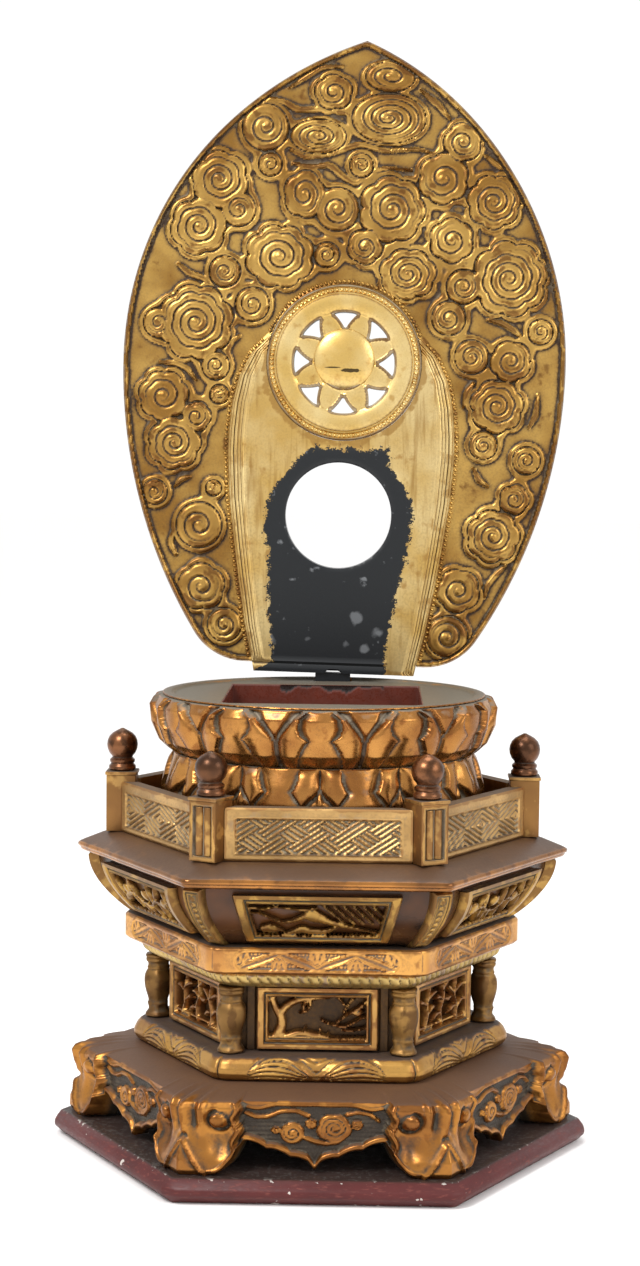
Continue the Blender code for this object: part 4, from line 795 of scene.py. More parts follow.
# Rope band: a narrow band under the slab cut with slanting flutes like a twisted rope, pale gold
# worn through in places to the grey ground.
ROPE_APOTHEM = 100.0
ROPE_FOOT = 117.8
ROPE_TOP = 127.8
ROPE_FLUTES = 19
ROPE_CORNER = 12.0
shares = np.linspace(-1, 1, 8 * ROPE_FLUTES + 1)[:-1]
rise = np.linspace(0, 1, 12)[:, None]
drawn_in = np.interp(rise, (0, 0.3, 0.75, 1), (-5.0, -1.6, 0.2, -0.8))
flute = cord((shares + 1) / 2 * ROPE_FLUTES + 0.65 * rise)
out = ROPE_APOTHEM - 0.9 + drawn_in + 2.0 * flute * np.sin(math.pi * np.clip(rise, 0.06, 0.94)) ** 0.4
band = hexagon(shares, out, ROPE_CORNER, ROPE_FOOT + rise * (ROPE_TOP - ROPE_FOOT))
rope = ring_piece("rope_band_carved", turned_round(band, 6))
mark_hollows(rope, 4, 0.9)
rope_gilt = worn_gilt("rope_gilt", "C2A566", "9C8350", "4A3C26", "8A7468", "857A6C", 0.25, 0.42)
settle(rope, rope_gilt, "pale_gilt", "rope_band", smooth_degrees=60)


# Slab: a gilt board with rounded corners under a sooty top. Each edge has a long sunk reserve
# with rounded ends, carved with crossing pointed leaves on punched ground.
SLAB_APOTHEM = 110.0
SLAB_HALF = SLAB_APOTHEM * FACE_SLOPE
SLAB_FOOT = 128.1
SLAB_TOP = 144.6
SLAB_CORNER = 12.0
SLAB_SEATS = (96.0, 98.0)
SLAB_GRAIN = 0.95
RESERVE = (48.5, 136.2, 5.6)
LEAF_PITCH = 46.0


def reserve_relief(along, up):
    """Depth of the slab's reserve and of the leaves in it."""
    half, middle, radius = RESERVE
    beyond = np.maximum(np.abs(along) - (half - radius), 0)
    inside = radius - np.hypot(beyond, up - middle)
    stage = ((along / LEAF_PITCH) % 1.0) * 2
    bend = (stage % 1.0) - 0.5
    rising = np.where(stage < 1, 1.0, -1.0) * 8.4 * bend
    blade = 2.5 * dome(2 * bend)
    outside = np.abs(up - middle - rising) - blade
    outline = 1.5 * mound(outside, 0, 0.9)
    scoop = 0.9 - 0.9 * smooth(-outside, 0.4, 2.2)
    # Fans of short leaves under each upper joint of the long ones, and over each lower joint
    side = np.where(stage < 0.5, -1.0, np.where(stage < 1.5, 1.0, -1.0))
    spoke = np.abs(((along / LEAF_PITCH * 2 + 0.5) % 1.0) - 0.5) * LEAF_PITCH / 2
    depth = side * (middle - up) + 3.2
    fan = 1.2 * cord(np.arctan2(spoke, np.maximum(depth, 0.1)) / 0.55 + 0.5) * (depth > 0) * (spoke < 4.5)
    ground = np.maximum(0.7 * stipple(along, up, 2.4), fan)
    carving = np.where(outside < 0, np.maximum(outline, scoop), np.maximum(outline, ground))
    rim = 0.6 * mound(inside, -0.6, 0.9)
    return rim + (carving - 1.7) * smooth(inside, -0.2, 0.9)


shares = np.linspace(-1, 1, int(2 * SLAB_HALF / SLAB_GRAIN) + 1)[:-1]
levels = np.concatenate([[0, 0.35, 0.9, 1.6], np.arange(2.4, 14.4, 0.75), [14.9, 15.6, 16.1, 16.4]])[:, None]
along = shares * SLAB_HALF
arris = -1.5 * (1 - smooth(levels, 0, 1.6)) - 1.5 * smooth(levels, 14.9, 16.5)
split = -0.5 * np.exp(-((SLAB_HALF - np.abs(along)) / 0.8) ** 2)
out = SLAB_APOTHEM + arris + split + reserve_relief(along + 0 * levels, SLAB_FOOT + levels)
edge_rows = hexagon(shares, out, SLAB_CORNER, SLAB_FOOT + levels)
under = hexagon(shares, SLAB_SEATS[0], SLAB_CORNER, SLAB_FOOT)
over = hexagon(shares, SLAB_SEATS[1], SLAB_CORNER, SLAB_TOP)
slab = ring_piece("slab_carved", turned_round(np.concatenate([under[None], edge_rows, over[None]]), 6))
mark_hollows(slab, 5, 0.9)
slab_gilt = worn_gilt("slab_gilt", "CC9650", "A87440", "5A4332", "8A5C34", "8A7C6A", 0.15, 0.34, "35302D")
settle(slab, slab_gilt, "amber_gilt", "slab", smooth_degrees=60)


# Flared body: the bowl-shaped core of the next tier, six-sided, in glossy dark brown lacquer. It
# shows between the strips and the panels that are pinned on it.
FLARE_FOOT = 144.9
FLARE_HEIGHT = 37.7
FLARE_RADII = (116.5, 145.0)


def flare_radius(share):
    """Corner radius of the flared body at a share of its height: a bowl's curve."""
    swell = np.sin(np.clip(share, 0, 1) * math.pi / 2) ** 0.85
    return FLARE_RADII[0] + (FLARE_RADII[1] - FLARE_RADII[0]) * swell


shares = np.linspace(-1, 1, 25)[:-1]
rise = np.linspace(0, 1, 22)[:, None]
body = hexagon(shares, flare_radius(rise) * CORNER_SHARE, 2.0, FLARE_FOOT + rise * FLARE_HEIGHT)
flare = ring_piece("flare_body_lacquered", turned_round(body, 6))
mark(flare, "hollow", 0.5)

# Dark brown lacquer: almost black where it is thick, warm brown where worn thin, with a gloss
brown_lacquer = bpy.data.materials.new("brown_lacquer")
brown_lacquer.use_nodes = True
tree = brown_lacquer.node_tree
place = node(tree, "TexCoord", out="Object")
cloudy = node(tree, "TexNoise", {"Vector": place, "Scale": 1 / (34 * MM), "Detail": 3.0})
worn = node(tree, "MapRange", {0: cloudy, 1: 0.3, 2: 0.75})
colour = node(tree, "Mix", {0: worn, 6: linear("1A110B"), 7: linear("5C3618")}, 2, data_type="RGBA")
shader = tree.nodes["Principled BSDF"]
tree.links.new(colour, shader.inputs["Base Color"])
tree.links.new(node(tree, "MapRange", {0: cloudy, 3: 0.14, 4: 0.42}), shader.inputs["Roughness"])
shader.inputs["Specular IOR Level"].default_value = 0.3
settle(flare, brown_lacquer, "brown_lacquer", "flare_body", smooth_degrees=50)


# Corner strips: six gilt bars bent over the corners of the flared body, each with a raised border
# and a row of beads down its middle.
STRIP_HALF = 6.25
STRIP_THICKNESS = 3.4
STRIP_GRAIN = 0.7
STRIP_BEAD_PITCH = 3.7


def on_strip(across, up, depth, turn):
    """A point of a corner strip, bent over the flared body's corner, in metres."""
    share = np.clip(up / FLARE_HEIGHT, 0, 1)
    radial = flare_radius(share) + 0.3 + STRIP_THICKNESS - depth
    across = across * (0.8 + 0.2 * share)
    return (*rotated(radial * MM, across * MM, turn), (FLARE_FOOT + up) * MM)


def strip_relief(across, up):
    """Height of a strip's border, groove and beads above its ground."""
    inside = np.minimum(STRIP_HALF - np.abs(across), np.minimum(up - 0.5, FLARE_HEIGHT - 0.5 - up))
    border = 1.3 * one_cord(inside / 1.9)
    stage = (up / STRIP_BEAD_PITCH) % 1.0 - 0.5
    away = np.hypot(across, stage * STRIP_BEAD_PITCH)
    bead = 1.5 * dome(away / 1.75) * (inside > 3.4)
    line = 0.6 * one_cord((inside - 2.2) / 1.1)
    return np.maximum(np.maximum(border, line), bead)


strip_gilt = worn_gilt("strip_gilt", "B08A4C", "86683A", "2C2118", "644428", "7C725E", 0.25, 0.4)
for corner in range(6):
    turn = (corner - 1) * math.pi / 3
    strip = board(
        f"flare_strip_beaded_{corner + 1}", STRIP_HALF, FLARE_HEIGHT, STRIP_GRAIN,
        lambda across, up: on_strip(across, up, 1.5 - strip_relief(across, up), turn),
        lambda across, up: on_strip(across, up, STRIP_THICKNESS + FACE_SLOPE * np.abs(across), turn))
    mark_hollows(strip, 3, 0.7)
    settle(strip, strip_gilt, "dusty_gilt", f"flare_strip_{corner + 1}")


# Flared panels: pierced panels in sloping gilt frames that follow the swell of the body. Front and
# back show a crane with streaming tail feathers among clouds, the others a vine with blossoms.
FLARE_PANEL = (100.0, 30.5)
FLARE_PANEL_LOW = 4.0
FLARE_PANEL_FOOT = 42.0
FLARE_PANEL_THICKNESS = 5.5
FLARE_OPENING = (41.0, 4.6, 25.0)
FLARE_GRAIN = 0.86
CRANE = (
    ((34, 13, 2.2), (38, 13.5, 4.4), (42, 12, 3.6), (48, 9.5, 2.4), (57, 7, 2.0),
     (69, 4.5, 1.4), (83, 2, 1.1)),
    ((37, 15, 2.4), (31, 12, 1.9), (25, 9.5, 1.6), (18, 8.5, 1.4), (11, 12, 1.3),
     (4, 15, 1.1), (-1, 15, 1.0)),
    ((-1, 18.4, 1.4), (8, 17.4, 1.3), (15, 19, 1.2), (24, 18, 1.2), (33, 17, 1.3), (40, 18.5, 1.2)),
    ((5, 4, 2.6), (9, 4.6, 2.9), (13, 3.4, 2.2)), ((10, 7, 1.4), (14, 5, 1.8), (18, 3, 1.2)),
    ((19, 0.5, 1.4), (26, 2.6, 2.3), (31, 4.2, 2.9), (36, 2.6, 2.4), (45, 2.0, 2.3), (53, 5.4, 1.3)),
    ((-1, 0.3, 1.3), (30, 0.2, 1.0), (60, 0.3, 1.1), (84, 0.3, 1.3)),
    *(((44 + 6 * feather, 20.5, 1.0), (51 + 6 * feather, 14.5, 1.15), (59 + 6 * feather, 8, 0.8))
      for feather in range(6)),
)
VINE = (
    ((-1, 3, 1.4), (10, 9, 1.5), (22, 12, 1.4), (34, 7, 1.5), (46, 6, 1.4), (58, 12, 1.5),
     (70, 10, 1.4), (84, 16, 1.3)),
    *(((middle, height, 3.9), (middle + 0.6, height, 3.9))
      for middle, height in ((12, 12), (41, 12.5), (69, 11))),
    *(((foot, low, 1.0), (foot + lean, low + rise / 2, 2.2), (foot + 1.6 * lean, low + rise, 0.7))
      for foot, low, lean, rise in (
          (5, 6, -2, 13), (18, 12, 3, 8), (20, 11, 3, -9), (27, 11, -2, 9), (30, 8, 2, -8), (36, 7, 3, -6),
          (50, 7, 2, -7), (52, 8, -1, 12), (58, 12, 3, 8), (62, 12, 2, -11), (76, 12, 3, -10),
          (77, 13, -2, 8))),
    ((-1, 0.3, 1.2), (84, 0.3, 1.2)),
)


def on_flare(across, up, depth, turn):
    """A point of a flared panel, following the swell of its face, in metres."""
    rise = up / FLARE_PANEL[1]
    share = (FLARE_PANEL_LOW + up) / FLARE_HEIGHT
    taper = (FLARE_PANEL_FOOT + (FLARE_PANEL[0] / 2 - FLARE_PANEL_FOOT) * rise) * 2 / FLARE_PANEL[0]
    out = flare_radius(share) * CORNER_SHARE + 0.3 + FLARE_PANEL_THICKNESS - depth
    return (*rotated(across * taper * MM, -out * MM, turn), (FLARE_FOOT + FLARE_PANEL_LOW + up) * MM)


flare_gilt = worn_gilt("flare_gilt", "AE8846", "886838", "1E1813", "664628", "726855", 0.22, 0.38)
for face in range(6):
    turn = face * math.pi / 3
    panel = pierced(
        f"flare_panel_pierced_{face + 1}", CRANE if face % 3 == 0 else VINE, *FLARE_OPENING, FLARE_PANEL,
        FLARE_GRAIN, FLARE_PANEL[0] / 2 - FLARE_OPENING[0],
        lambda across, up, depth: on_flare(across, up, depth, turn),
        lambda across, up: on_flare(across, up, FLARE_PANEL_THICKNESS, turn))
    mark_hollows(panel, 3, 0.8)
    settle(panel, flare_gilt, "dusty_gilt", f"flare_panel_{face + 1}")


# Eave slab: the wide board that carries the railing, its upper side sloping to a thin gilt lip,
# brown with handling and grey with dust.
EAVE_FOOT = 182.9
EAVE_PROFILE = (
    (146.0, 0.0), (151.0, 0.3), (153.8, 1.0), (154.6, 2.0), (154.6, 3.0), (155.9, 3.5), (156.3, 4.6),
    (155.9, 5.8), (154.6, 6.6), (152.0, 7.8), (148.5, 9.2), (144.5, 10.8), (140.5, 12.4), (138.0, 13.2),
    (135.0, 13.6), (120.0, 13.7))
profile = np.array(EAVE_PROFILE)
shares = np.linspace(-1, 1, 49)[:-1]
uneven = 0.25 * np.sin(9 * shares) * np.sin(3.1 * shares)
eave_rows = hexagon(shares, profile[:, :1] * CORNER_SHARE + uneven * (profile[:, :1] > 150), 3.0,
                    EAVE_FOOT + profile[:, 1:])
eave = ring_piece("eave_slab_moulded", turned_round(eave_rows, 6))
mark_hollows(eave, 2, 1.6)
eave_gilt = worn_gilt("eave_gilt", "A8713A", "7A5230", "2A1C14", "6A4428", "6E6254", 0.1, 0.16, "46301F")
settle(eave, eave_gilt, "dusty_gilt", "eave_slab", smooth_degrees=50)


# Railing posts: six square posts, each turned to face its corner, with two reeds in a sunk field
# on the outer face and a thin cap.
RAIL_FOOT = 196.9
POST_CENTRE = 127.6
POST_WIDTH = 18.5
POST_HEIGHT = 38.0
POST_CAP = 2.2
POST_BORDER = 2.9
REED_RADIUS = 2.9
FIELD_SUNK = 1.7


def box(middle, size):
    """A cube drawn out to a size, in millimetres."""
    bpy.ops.mesh.primitive_cube_add(size=1, location=[value * MM for value in middle])
    made = bpy.context.object
    made.scale = [value * MM for value in size]
    bpy.ops.object.transform_apply(location=True, rotation=True, scale=True)
    return made


def join(piece, *others):
    """Join other meshes into a piece."""
    bpy.ops.object.select_all(action="DESELECT")
    for other in (*others, piece):
        other.select_set(True)
    bpy.context.view_layer.objects.active = piece
    bpy.ops.object.join()


def soften(piece, width, segments=2):
    """Round a piece's sharp edges by a bevel."""
    bevel = piece.modifiers.new("soft_edges", "BEVEL")
    bevel.width = width * MM
    bevel.segments = segments
    bevel.angle_limit = math.radians(40)
    bpy.ops.object.modifier_apply(modifier="soft_edges")


post_gilt = worn_gilt("post_gilt", "BC9252", "8E6C44", "3A2A1C", "744E2C", "857A66", 0.25, 0.4, "4E4034")
for corner in range(6):
    post = box((0, -POST_CENTRE, RAIL_FOOT + (POST_HEIGHT - POST_CAP) / 2),
               (POST_WIDTH, POST_WIDTH, POST_HEIGHT - POST_CAP))
    post.name = f"rail_post_reeded_{corner + 1}"
    for polygon in post.data.polygons:
        polygon.select = polygon.normal.y < -0.5
    for edge in post.data.edges:
        edge.select = all(post.data.vertices[i].co.y < -POST_CENTRE * MM for i in edge.vertices)
    for vertex in post.data.vertices:
        vertex.select = vertex.co.y < -POST_CENTRE * MM
    bpy.ops.object.mode_set(mode="EDIT")
    bpy.ops.mesh.select_mode(type="FACE")
    bpy.ops.mesh.inset(thickness=POST_BORDER * MM, depth=0)
    bpy.ops.mesh.inset(thickness=0.4 * MM, depth=-FIELD_SUNK * MM)
    bpy.ops.object.mode_set(mode="OBJECT")
    field_face = -POST_CENTRE - POST_WIDTH / 2 + FIELD_SUNK
    reeds = []
    for side in (-1, 1):
        bpy.ops.mesh.primitive_cylinder_add(
            vertices=20, radius=REED_RADIUS * MM, depth=(POST_HEIGHT - POST_CAP - 2 * POST_BORDER - 1) * MM,
            location=(side * 1.04 * REED_RADIUS * MM, (field_face + 1.1) * MM,
                      (RAIL_FOOT + (POST_HEIGHT - POST_CAP) / 2) * MM))
        reeds.append(bpy.context.object)
    cap = box((0, -POST_CENTRE, RAIL_FOOT + POST_HEIGHT - POST_CAP / 2),
              (POST_WIDTH + 1.4, POST_WIDTH + 1.4, POST_CAP - 0.1))
    join(post, *reeds, cap)
    soften(post, 0.45)
    post.rotation_euler.z = math.pi / 6 + corner * math.pi / 3
    bpy.ops.object.transform_apply(location=False, rotation=True, scale=False)
    mark_hollows(post, 1, 1.6)
    settle(post, post_gilt, "pale_gilt", f"rail_post_{corner + 1}", smooth_degrees=35)


# Post finials: an onion-shaped knob on a stepped collar, turned and pegged on each post, its gold
# rubbed to dark brown lacquer with a coppery shine.
FINIAL_PROFILE = (
    (7.4, 0.0), (8.3, 0.3), (8.6, 1.0), (8.5, 2.8), (7.6, 3.6), (7.2, 4.5), (7.9, 5.1), (8.0, 6.6),
    (7.0, 7.5),
    (6.3, 8.2), (6.9, 9.2), (8.4, 11.0), (9.5, 13.8), (9.8, 16.4), (9.4, 19.0), (8.2, 21.6), (6.2, 23.6),
    (3.8, 25.0), (1.9, 25.9), (0.9, 26.5))
finial_finish = worn_gilt("finial_lacquer", "7A5034", "4E3424", "1E1612", "3C281C", "6E665A", 0.2, 0.3)
for corner in range(6):
    turn = math.pi / 6 + corner * math.pi / 3
    finial = turned(f"post_finial_turned_{corner + 1}", FINIAL_PROFILE, 32, (
        POST_CENTRE * math.sin(turn), -POST_CENTRE * math.cos(turn), RAIL_FOOT + POST_HEIGHT + 0.3))
    mark_hollows(finial, 4, 1.6)
    settle(finial, finial_finish, "brown_lacquer", f"post_finial_{corner + 1}", smooth_degrees=50)


# Railing panels: framed boards let in between the posts, mitred at their ends. Front and back are
# carved with an interlocking diagonal fret, the sides with diamonds in diamonds.
RAIL_HEIGHT = 31.8
RAIL_THICKNESS = 9.0
RAIL_FACE = POST_CENTRE * CORNER_SHARE + RAIL_THICKNESS / 2
RAIL_GRAIN = 0.7
RAIL_FIELD = (48.6, 4.8, 25.2)
FRET_RISE = math.radians(33)
FRET_UNIT = 3.2
DIAMOND = 46.0


def rail_end(depth):
    """Half length of a rail panel where its mitred end meets a post."""
    side = POST_WIDTH / 2 + 0.3 + (depth - RAIL_THICKNESS / 2) * 0.5
    return POST_CENTRE / 2 - side / CORNER_SHARE


def bar(stage):
    """Section of a square-edged bar and the groove beside it."""
    return smooth(np.abs((stage % 1.0) - 0.5), 0.34, 0.2)


def key_fret(across, up):
    """Long slanting bars in pairs, crossed at their ends by short ones."""
    first = (across / math.cos(FRET_RISE) + up / math.sin(FRET_RISE)) / 2 / FRET_UNIT
    second = (across / math.cos(FRET_RISE) - up / math.sin(FRET_RISE)) / 2 / FRET_UNIT
    strip = np.floor(second / 3)
    along = (first + 5 * strip) % 11
    return np.where(along < 7, bar(second), bar(along))


def diamonds(across, up):
    """Diamonds one in another between diagonals."""
    beside = np.abs(((across + DIAMOND / 2) % DIAMOND) - DIAMOND / 2)
    return bar((beside * 0.44 + np.abs(up - (RAIL_FIELD[1] + RAIL_FIELD[2]) / 2)) / 3.4)


def rail_relief(across, up, pattern):
    """Depth of the rail's sunk field, its fret and the rounded frame below the frame's face."""
    gap = frame_gap(across, up, *RAIL_FIELD)
    fret = -1.9 + 1.3 * pattern(across, up)
    edge = np.minimum(up, RAIL_HEIGHT - up)
    return np.where(gap > 0, fret, -0.8 * (1 - smooth(edge, 0, 1.4))) + 0.35 * mound(gap, -0.7, 0.8)


def on_rail(across, up, depth, turn):
    """A point of a rail panel, its ends drawn in towards the back, in metres."""
    across = across * rail_end(depth) / rail_end(0)
    return (*rotated(across * MM, (depth - RAIL_FACE) * MM, turn), (RAIL_FOOT + up) * MM)


rail_gilt = worn_gilt("rail_gilt", "C29C64", "A07E4E", "5A4833", "90683F", "9A9078", 0.3, 0.42, "5A4836")
for face in range(6):
    turn = face * math.pi / 3
    pattern = key_fret if face % 3 == 0 else diamonds
    rail = board(
        f"rail_panel_fretted_{face + 1}", rail_end(0), RAIL_HEIGHT, RAIL_GRAIN,
        lambda across, up: on_rail(across, up, -rail_relief(across, up, pattern), turn),
        lambda across, up: on_rail(across, up, RAIL_THICKNESS, turn), filled=True)
    mark_hollows(rail, 3, 0.8)
    settle(rail, rail_gilt, "pale_gilt", f"rail_panel_{face + 1}")


# Lower lotus: twelve down-turned petals carved in one block and gilded, each with a full belly
# between two leaf margins that curl to a hook, and the tips of a back row between them.
PETALS = 12
LOTUS_FOOT = 196.9
LOWER_RADIUS = 101.0
LOWER_HEIGHT = 52.5
PETAL_HALF = math.pi / PETALS
LOTUS_COLUMNS = 56
# Radius of the block, and the inner and outer edges of a margin, up a petal from its tip
LOWER_RISE = (0.0, 0.04, 0.12, 0.35, 0.6, 0.8, 1.0)
LOWER_SWELL = (0.90, 0.945, 0.975, 1.0, 1.0, 0.975, 0.94)
LOWER_EDGE_RISE = (0.0, 0.1, 0.3, 0.5, 0.58, 0.64, 0.70, 0.74, 0.78, 0.86, 0.97, 1.0)
LOWER_INNER = (4, 10, 14.5, 15.6, 14.8, 13.0, 10.6, 8.8, 10.8, 12.6, 13.2, 13.4)
LOWER_OUTER = (5, 12, 17.0, 18.0, 17.0, 20.5, 24.0, 25.2, 25.6, 25.9, 26.2, 26.2)


def petal_relief(beside, rise, inner, outer, recess, belly):
    """Depth of a petal: its belly, the round swelling of its margin, and the valley beyond."""
    body = -belly * (beside / inner) ** 2 - recess * smooth(beside / inner, 0.45, 1.0)
    across = np.clip((beside - inner) / np.maximum(outer - inner, 0.6), 0, 1)
    margin = 2.3 * np.sin(math.pi * (0.2 + 0.8 * across)) ** 0.8 - 2.8 * across ** 3 - 0.5
    valley = -5.2 + 1.2 * smooth(beside, outer + 1.5, outer + 5) * np.ones_like(rise)
    return np.where(beside < inner, body, np.where(beside < outer, margin, valley))


share = np.linspace(-1, 1, LOTUS_COLUMNS + 1)[:-1]
rise = np.linspace(0, 1, 46)[:, None]
beside = np.abs(share) * PETAL_HALF * LOWER_RADIUS + 0 * rise
inner = np.interp(rise, LOWER_EDGE_RISE, LOWER_INNER)
outer = np.interp(rise, LOWER_EDGE_RISE, LOWER_OUTER)
relief = petal_relief(beside, rise, inner, outer, 1.6 * mound(rise, 0.8, 0.2), 1.8)
tip = smooth(inner - beside, 0, 1.5) * (1 - smooth(rise, 0.02, 0.1))
back_ridge = 1.5 * mound(beside, PETAL_HALF * LOWER_RADIUS, 2.6) * (1 - smooth(rise, 0.75, 0.95))
relief = relief * smooth(rise, 1.03, 0.9) + back_ridge + 0.6 * tip
reach = LOWER_RADIUS * np.interp(rise, LOWER_RISE, LOWER_SWELL) + relief
turn = share * PETAL_HALF + 0 * rise
level = LOTUS_FOOT + rise * LOWER_HEIGHT + 0 * reach
petal = np.stack([reach * np.sin(turn), -reach * np.cos(turn), level], -1)
lower = ring_piece("lotus_lower_carved", turned_round(petal, PETALS, PETAL_HALF))
mark_hollows(lower, 6, 1.3)
LOTUS_LEAF = ("B07C40", "8A5A2C", "3A2617", "7A4A24", "8C806C", 0.24, 0.28, "5C574C")
lotus_gilt = worn_gilt("lotus_gilt", *LOTUS_LEAF)
settle(lower, lotus_gilt, "amber_gilt", "lotus_lower", smooth_degrees=75)


# Upper lotus: twelve up-turned petals under a thin beaded rim, round a dished plate with a square
# well for the statue's base. The well's walls are bare red-brown ground, torn at the back.
UPPER_RADIUS = 108.6
UPPER_FOOT = 249.7
UPPER_HEIGHT = 37.2
PLATE_LEVEL = 284.9
WELL_HALF = (61.0, 60.0)
WELL_DEPTH = 30.2
UPPER_RISE = (0.0, 0.08, 0.2, 0.5, 0.8, 0.93, 1.0)
UPPER_SWELL = (0.865, 0.90, 0.945, 0.99, 1.0, 0.972, 0.925)
UPPER_EDGE_RISE = (0.0, 0.15, 0.26, 0.36, 0.42, 0.46, 0.51, 0.57, 0.68, 0.82, 0.93, 1.0)
UPPER_INNER = (16.0, 14.6, 12.8, 10.8, 9.2, 7.8, 9.4, 12.2, 14.2, 12.6, 7.6, 5.0)
UPPER_OUTER = (26.4, 26.8, 27.0, 27.0, 26.8, 26.4, 25.6, 24.4, 21.0, 16.3, 11.0, 7.0)
RIM_BEAD = 2.3
MORTISE = (24.6, 8.6, 12.0)
MORTISE_MIDDLE = (4.3, 91.0)
MORTISE_OVER = 4.0

rise = np.linspace(0, 0.95, 44)[:, None]
beside = np.abs(share) * PETAL_HALF * UPPER_RADIUS + 0 * rise
inner = np.interp(rise, UPPER_EDGE_RISE, UPPER_INNER)
outer = np.interp(rise, UPPER_EDGE_RISE, UPPER_OUTER)
relief = petal_relief(beside, rise, inner, outer, 2.6 * mound(rise, 0.7, 0.28), 2.2)
# The back row's tips: flat triangles between the margins, their points down
tip_ridge = 2.8 * smooth(24 * (rise - 0.5) - (PETAL_HALF * UPPER_RADIUS - beside), -0.2, 1.0)
relief = (relief + tip_ridge) * smooth(rise, 0.97, 0.9) * smooth(rise, -0.06, 0.04)
reach = UPPER_RADIUS * np.interp(rise, UPPER_RISE, UPPER_SWELL) + relief
turn = share * PETAL_HALF
level = UPPER_FOOT + rise * UPPER_HEIGHT + 0 * reach
petal = np.stack([reach * np.sin(turn), -reach * np.cos(turn), level], -1)
whole_turn = (np.arange(PETALS * LOTUS_COLUMNS) / LOTUS_COLUMNS - 0.5) * 2 * PETAL_HALF
# Beaded edge, rim and dished plate: radius, drop below the rim's top, and height of the beads
plate_rings = []
for radius, drop, beaded in ((100.6, 1.7, 0.0), (101.6, 1.2, 0.7), (101.5, 0.5, 0.7), (100.2, 0.1, 0.0),
                             (98.6, 0.0, 0), (96.6, 0.1, 0), (95.4, 0.7, 0), (94.4, 1.7, 0), (93.2, 2.0, 0)):
    reach = radius + beaded * (cord(whole_turn * radius / RIM_BEAD) - 0.5)
    plate_rings.append(np.stack([reach * np.sin(whole_turn), -reach * np.cos(whole_turn),
                                 UPPER_FOOT + UPPER_HEIGHT - drop + 0 * whole_turn], -1))
sine, cosine = np.sin(whole_turn), -np.cos(whole_turn)
to_wall = 1 / np.maximum(np.abs(sine) / WELL_HALF[0], np.abs(cosine) / WELL_HALF[1])
wall = np.stack([to_wall * sine, to_wall * cosine], -1)
for corner_x in (-WELL_HALF[0], WELL_HALF[0]):
    for corner_y in (-WELL_HALF[1], WELL_HALF[1]):
        nearest = np.argmin(np.hypot(wall[:, 0] - corner_x, wall[:, 1] - corner_y))
        wall[nearest] = corner_x, corner_y
ragged = 2.6 + 1.6 * np.sin(wall[:, 0] / 6.3) + 1.0 * np.sin(wall[:, 0] / 2.1 + 1)
torn = (wall[:, 1] > WELL_HALF[1] - 0.5) * (np.abs(wall[:, 0] - 4) < 34) * np.clip(ragged, 0.8, 5)
for inset, drop in ((12.0, 0.0), (1.0, 0.0), (0.3, 0.15), (0.0, 0.5), (0.0, 1.3), (0.0, 2.1), (0.0, 2.9),
                    (0.0, 3.8), (0.0, 4.8), (0.0, 6.0), (0.0, 8.0), (0.0, WELL_DEPTH)):
    spread = 1 + inset / WELL_HALF[0]
    level = PLATE_LEVEL - drop - 0 * whole_turn
    rough = 0.4 * (torn > drop) * (drop > 0.2)
    plate_rings.append(np.stack([wall[:, 0] * spread, wall[:, 1] * spread + rough, level], -1))
rings = np.concatenate([turned_round(petal, PETALS), np.stack(plate_rings)])
upper = ring_piece("lotus_upper_carved", rings)
mark_hollows(upper, 6, 1.3)
height = rings[..., 2]
in_well = np.zeros(height.shape)
in_well[-10:] = 1.0
mark(upper, "well", in_well.ravel())
mark(upper, "torn", (in_well * (torn > PLATE_LEVEL - height) * (height < PLATE_LEVEL - 0.2)).ravel())
mortise = box((*MORTISE_MIDDLE, PLATE_LEVEL - MORTISE[2] / 2 + MORTISE_OVER / 2),
              (MORTISE[0], MORTISE[1], MORTISE[2] + MORTISE_OVER))
cut = upper.modifiers.new("mortise", "BOOLEAN")
cut.solver = "EXACT"
cut.object = mortise
bpy.context.view_layer.objects.active = upper
bpy.ops.object.modifier_apply(modifier="mortise")
bpy.data.objects.remove(mortise)

# The petals' gilt, going over to the bare red-brown ground of the well's walls and to the dark
# broken wood of its torn edge
well_gilt = worn_gilt("lotus_plate_gilt", *LOTUS_LEAF)
tree = well_gilt.node_tree
shader = tree.nodes["Principled BSDF"]
place = node(tree, "TexCoord", out="Object")
cloudy = node(tree, "TexNoise", {"Vector": place, "Scale": 1 / (12 * MM), "Detail": 4.0})
bare = node(tree, "Attribute", out="Fac", attribute_name="well")
broken = node(tree, "Attribute", out="Fac", attribute_name="torn")
ground = node(tree, "Mix", {0: cloudy, 6: linear("3C1A12"), 7: linear("6C3021")}, 2, data_type="RGBA")
ground = node(tree, "Mix", {0: broken, 6: ground, 7: linear("1E1512")}, 2, data_type="RGBA")
gold = {name: shader.inputs[name].links[0].from_socket for name in ("Base Color", "Metallic")}
tree.links.new(node(tree, "Mix", {0: bare, 6: gold["Base Color"], 7: ground}, 2, data_type="RGBA"),
               shader.inputs["Base Color"])
covered = node(tree, "Math", {0: 1.0, 1: bare}, operation="SUBTRACT")
tree.links.new(node(tree, "Math", {0: gold["Metallic"], 1: covered}, operation="MULTIPLY"),
               shader.inputs["Metallic"])
settle(upper, well_gilt, "amber_gilt", "lotus_upper", smooth_degrees=75)
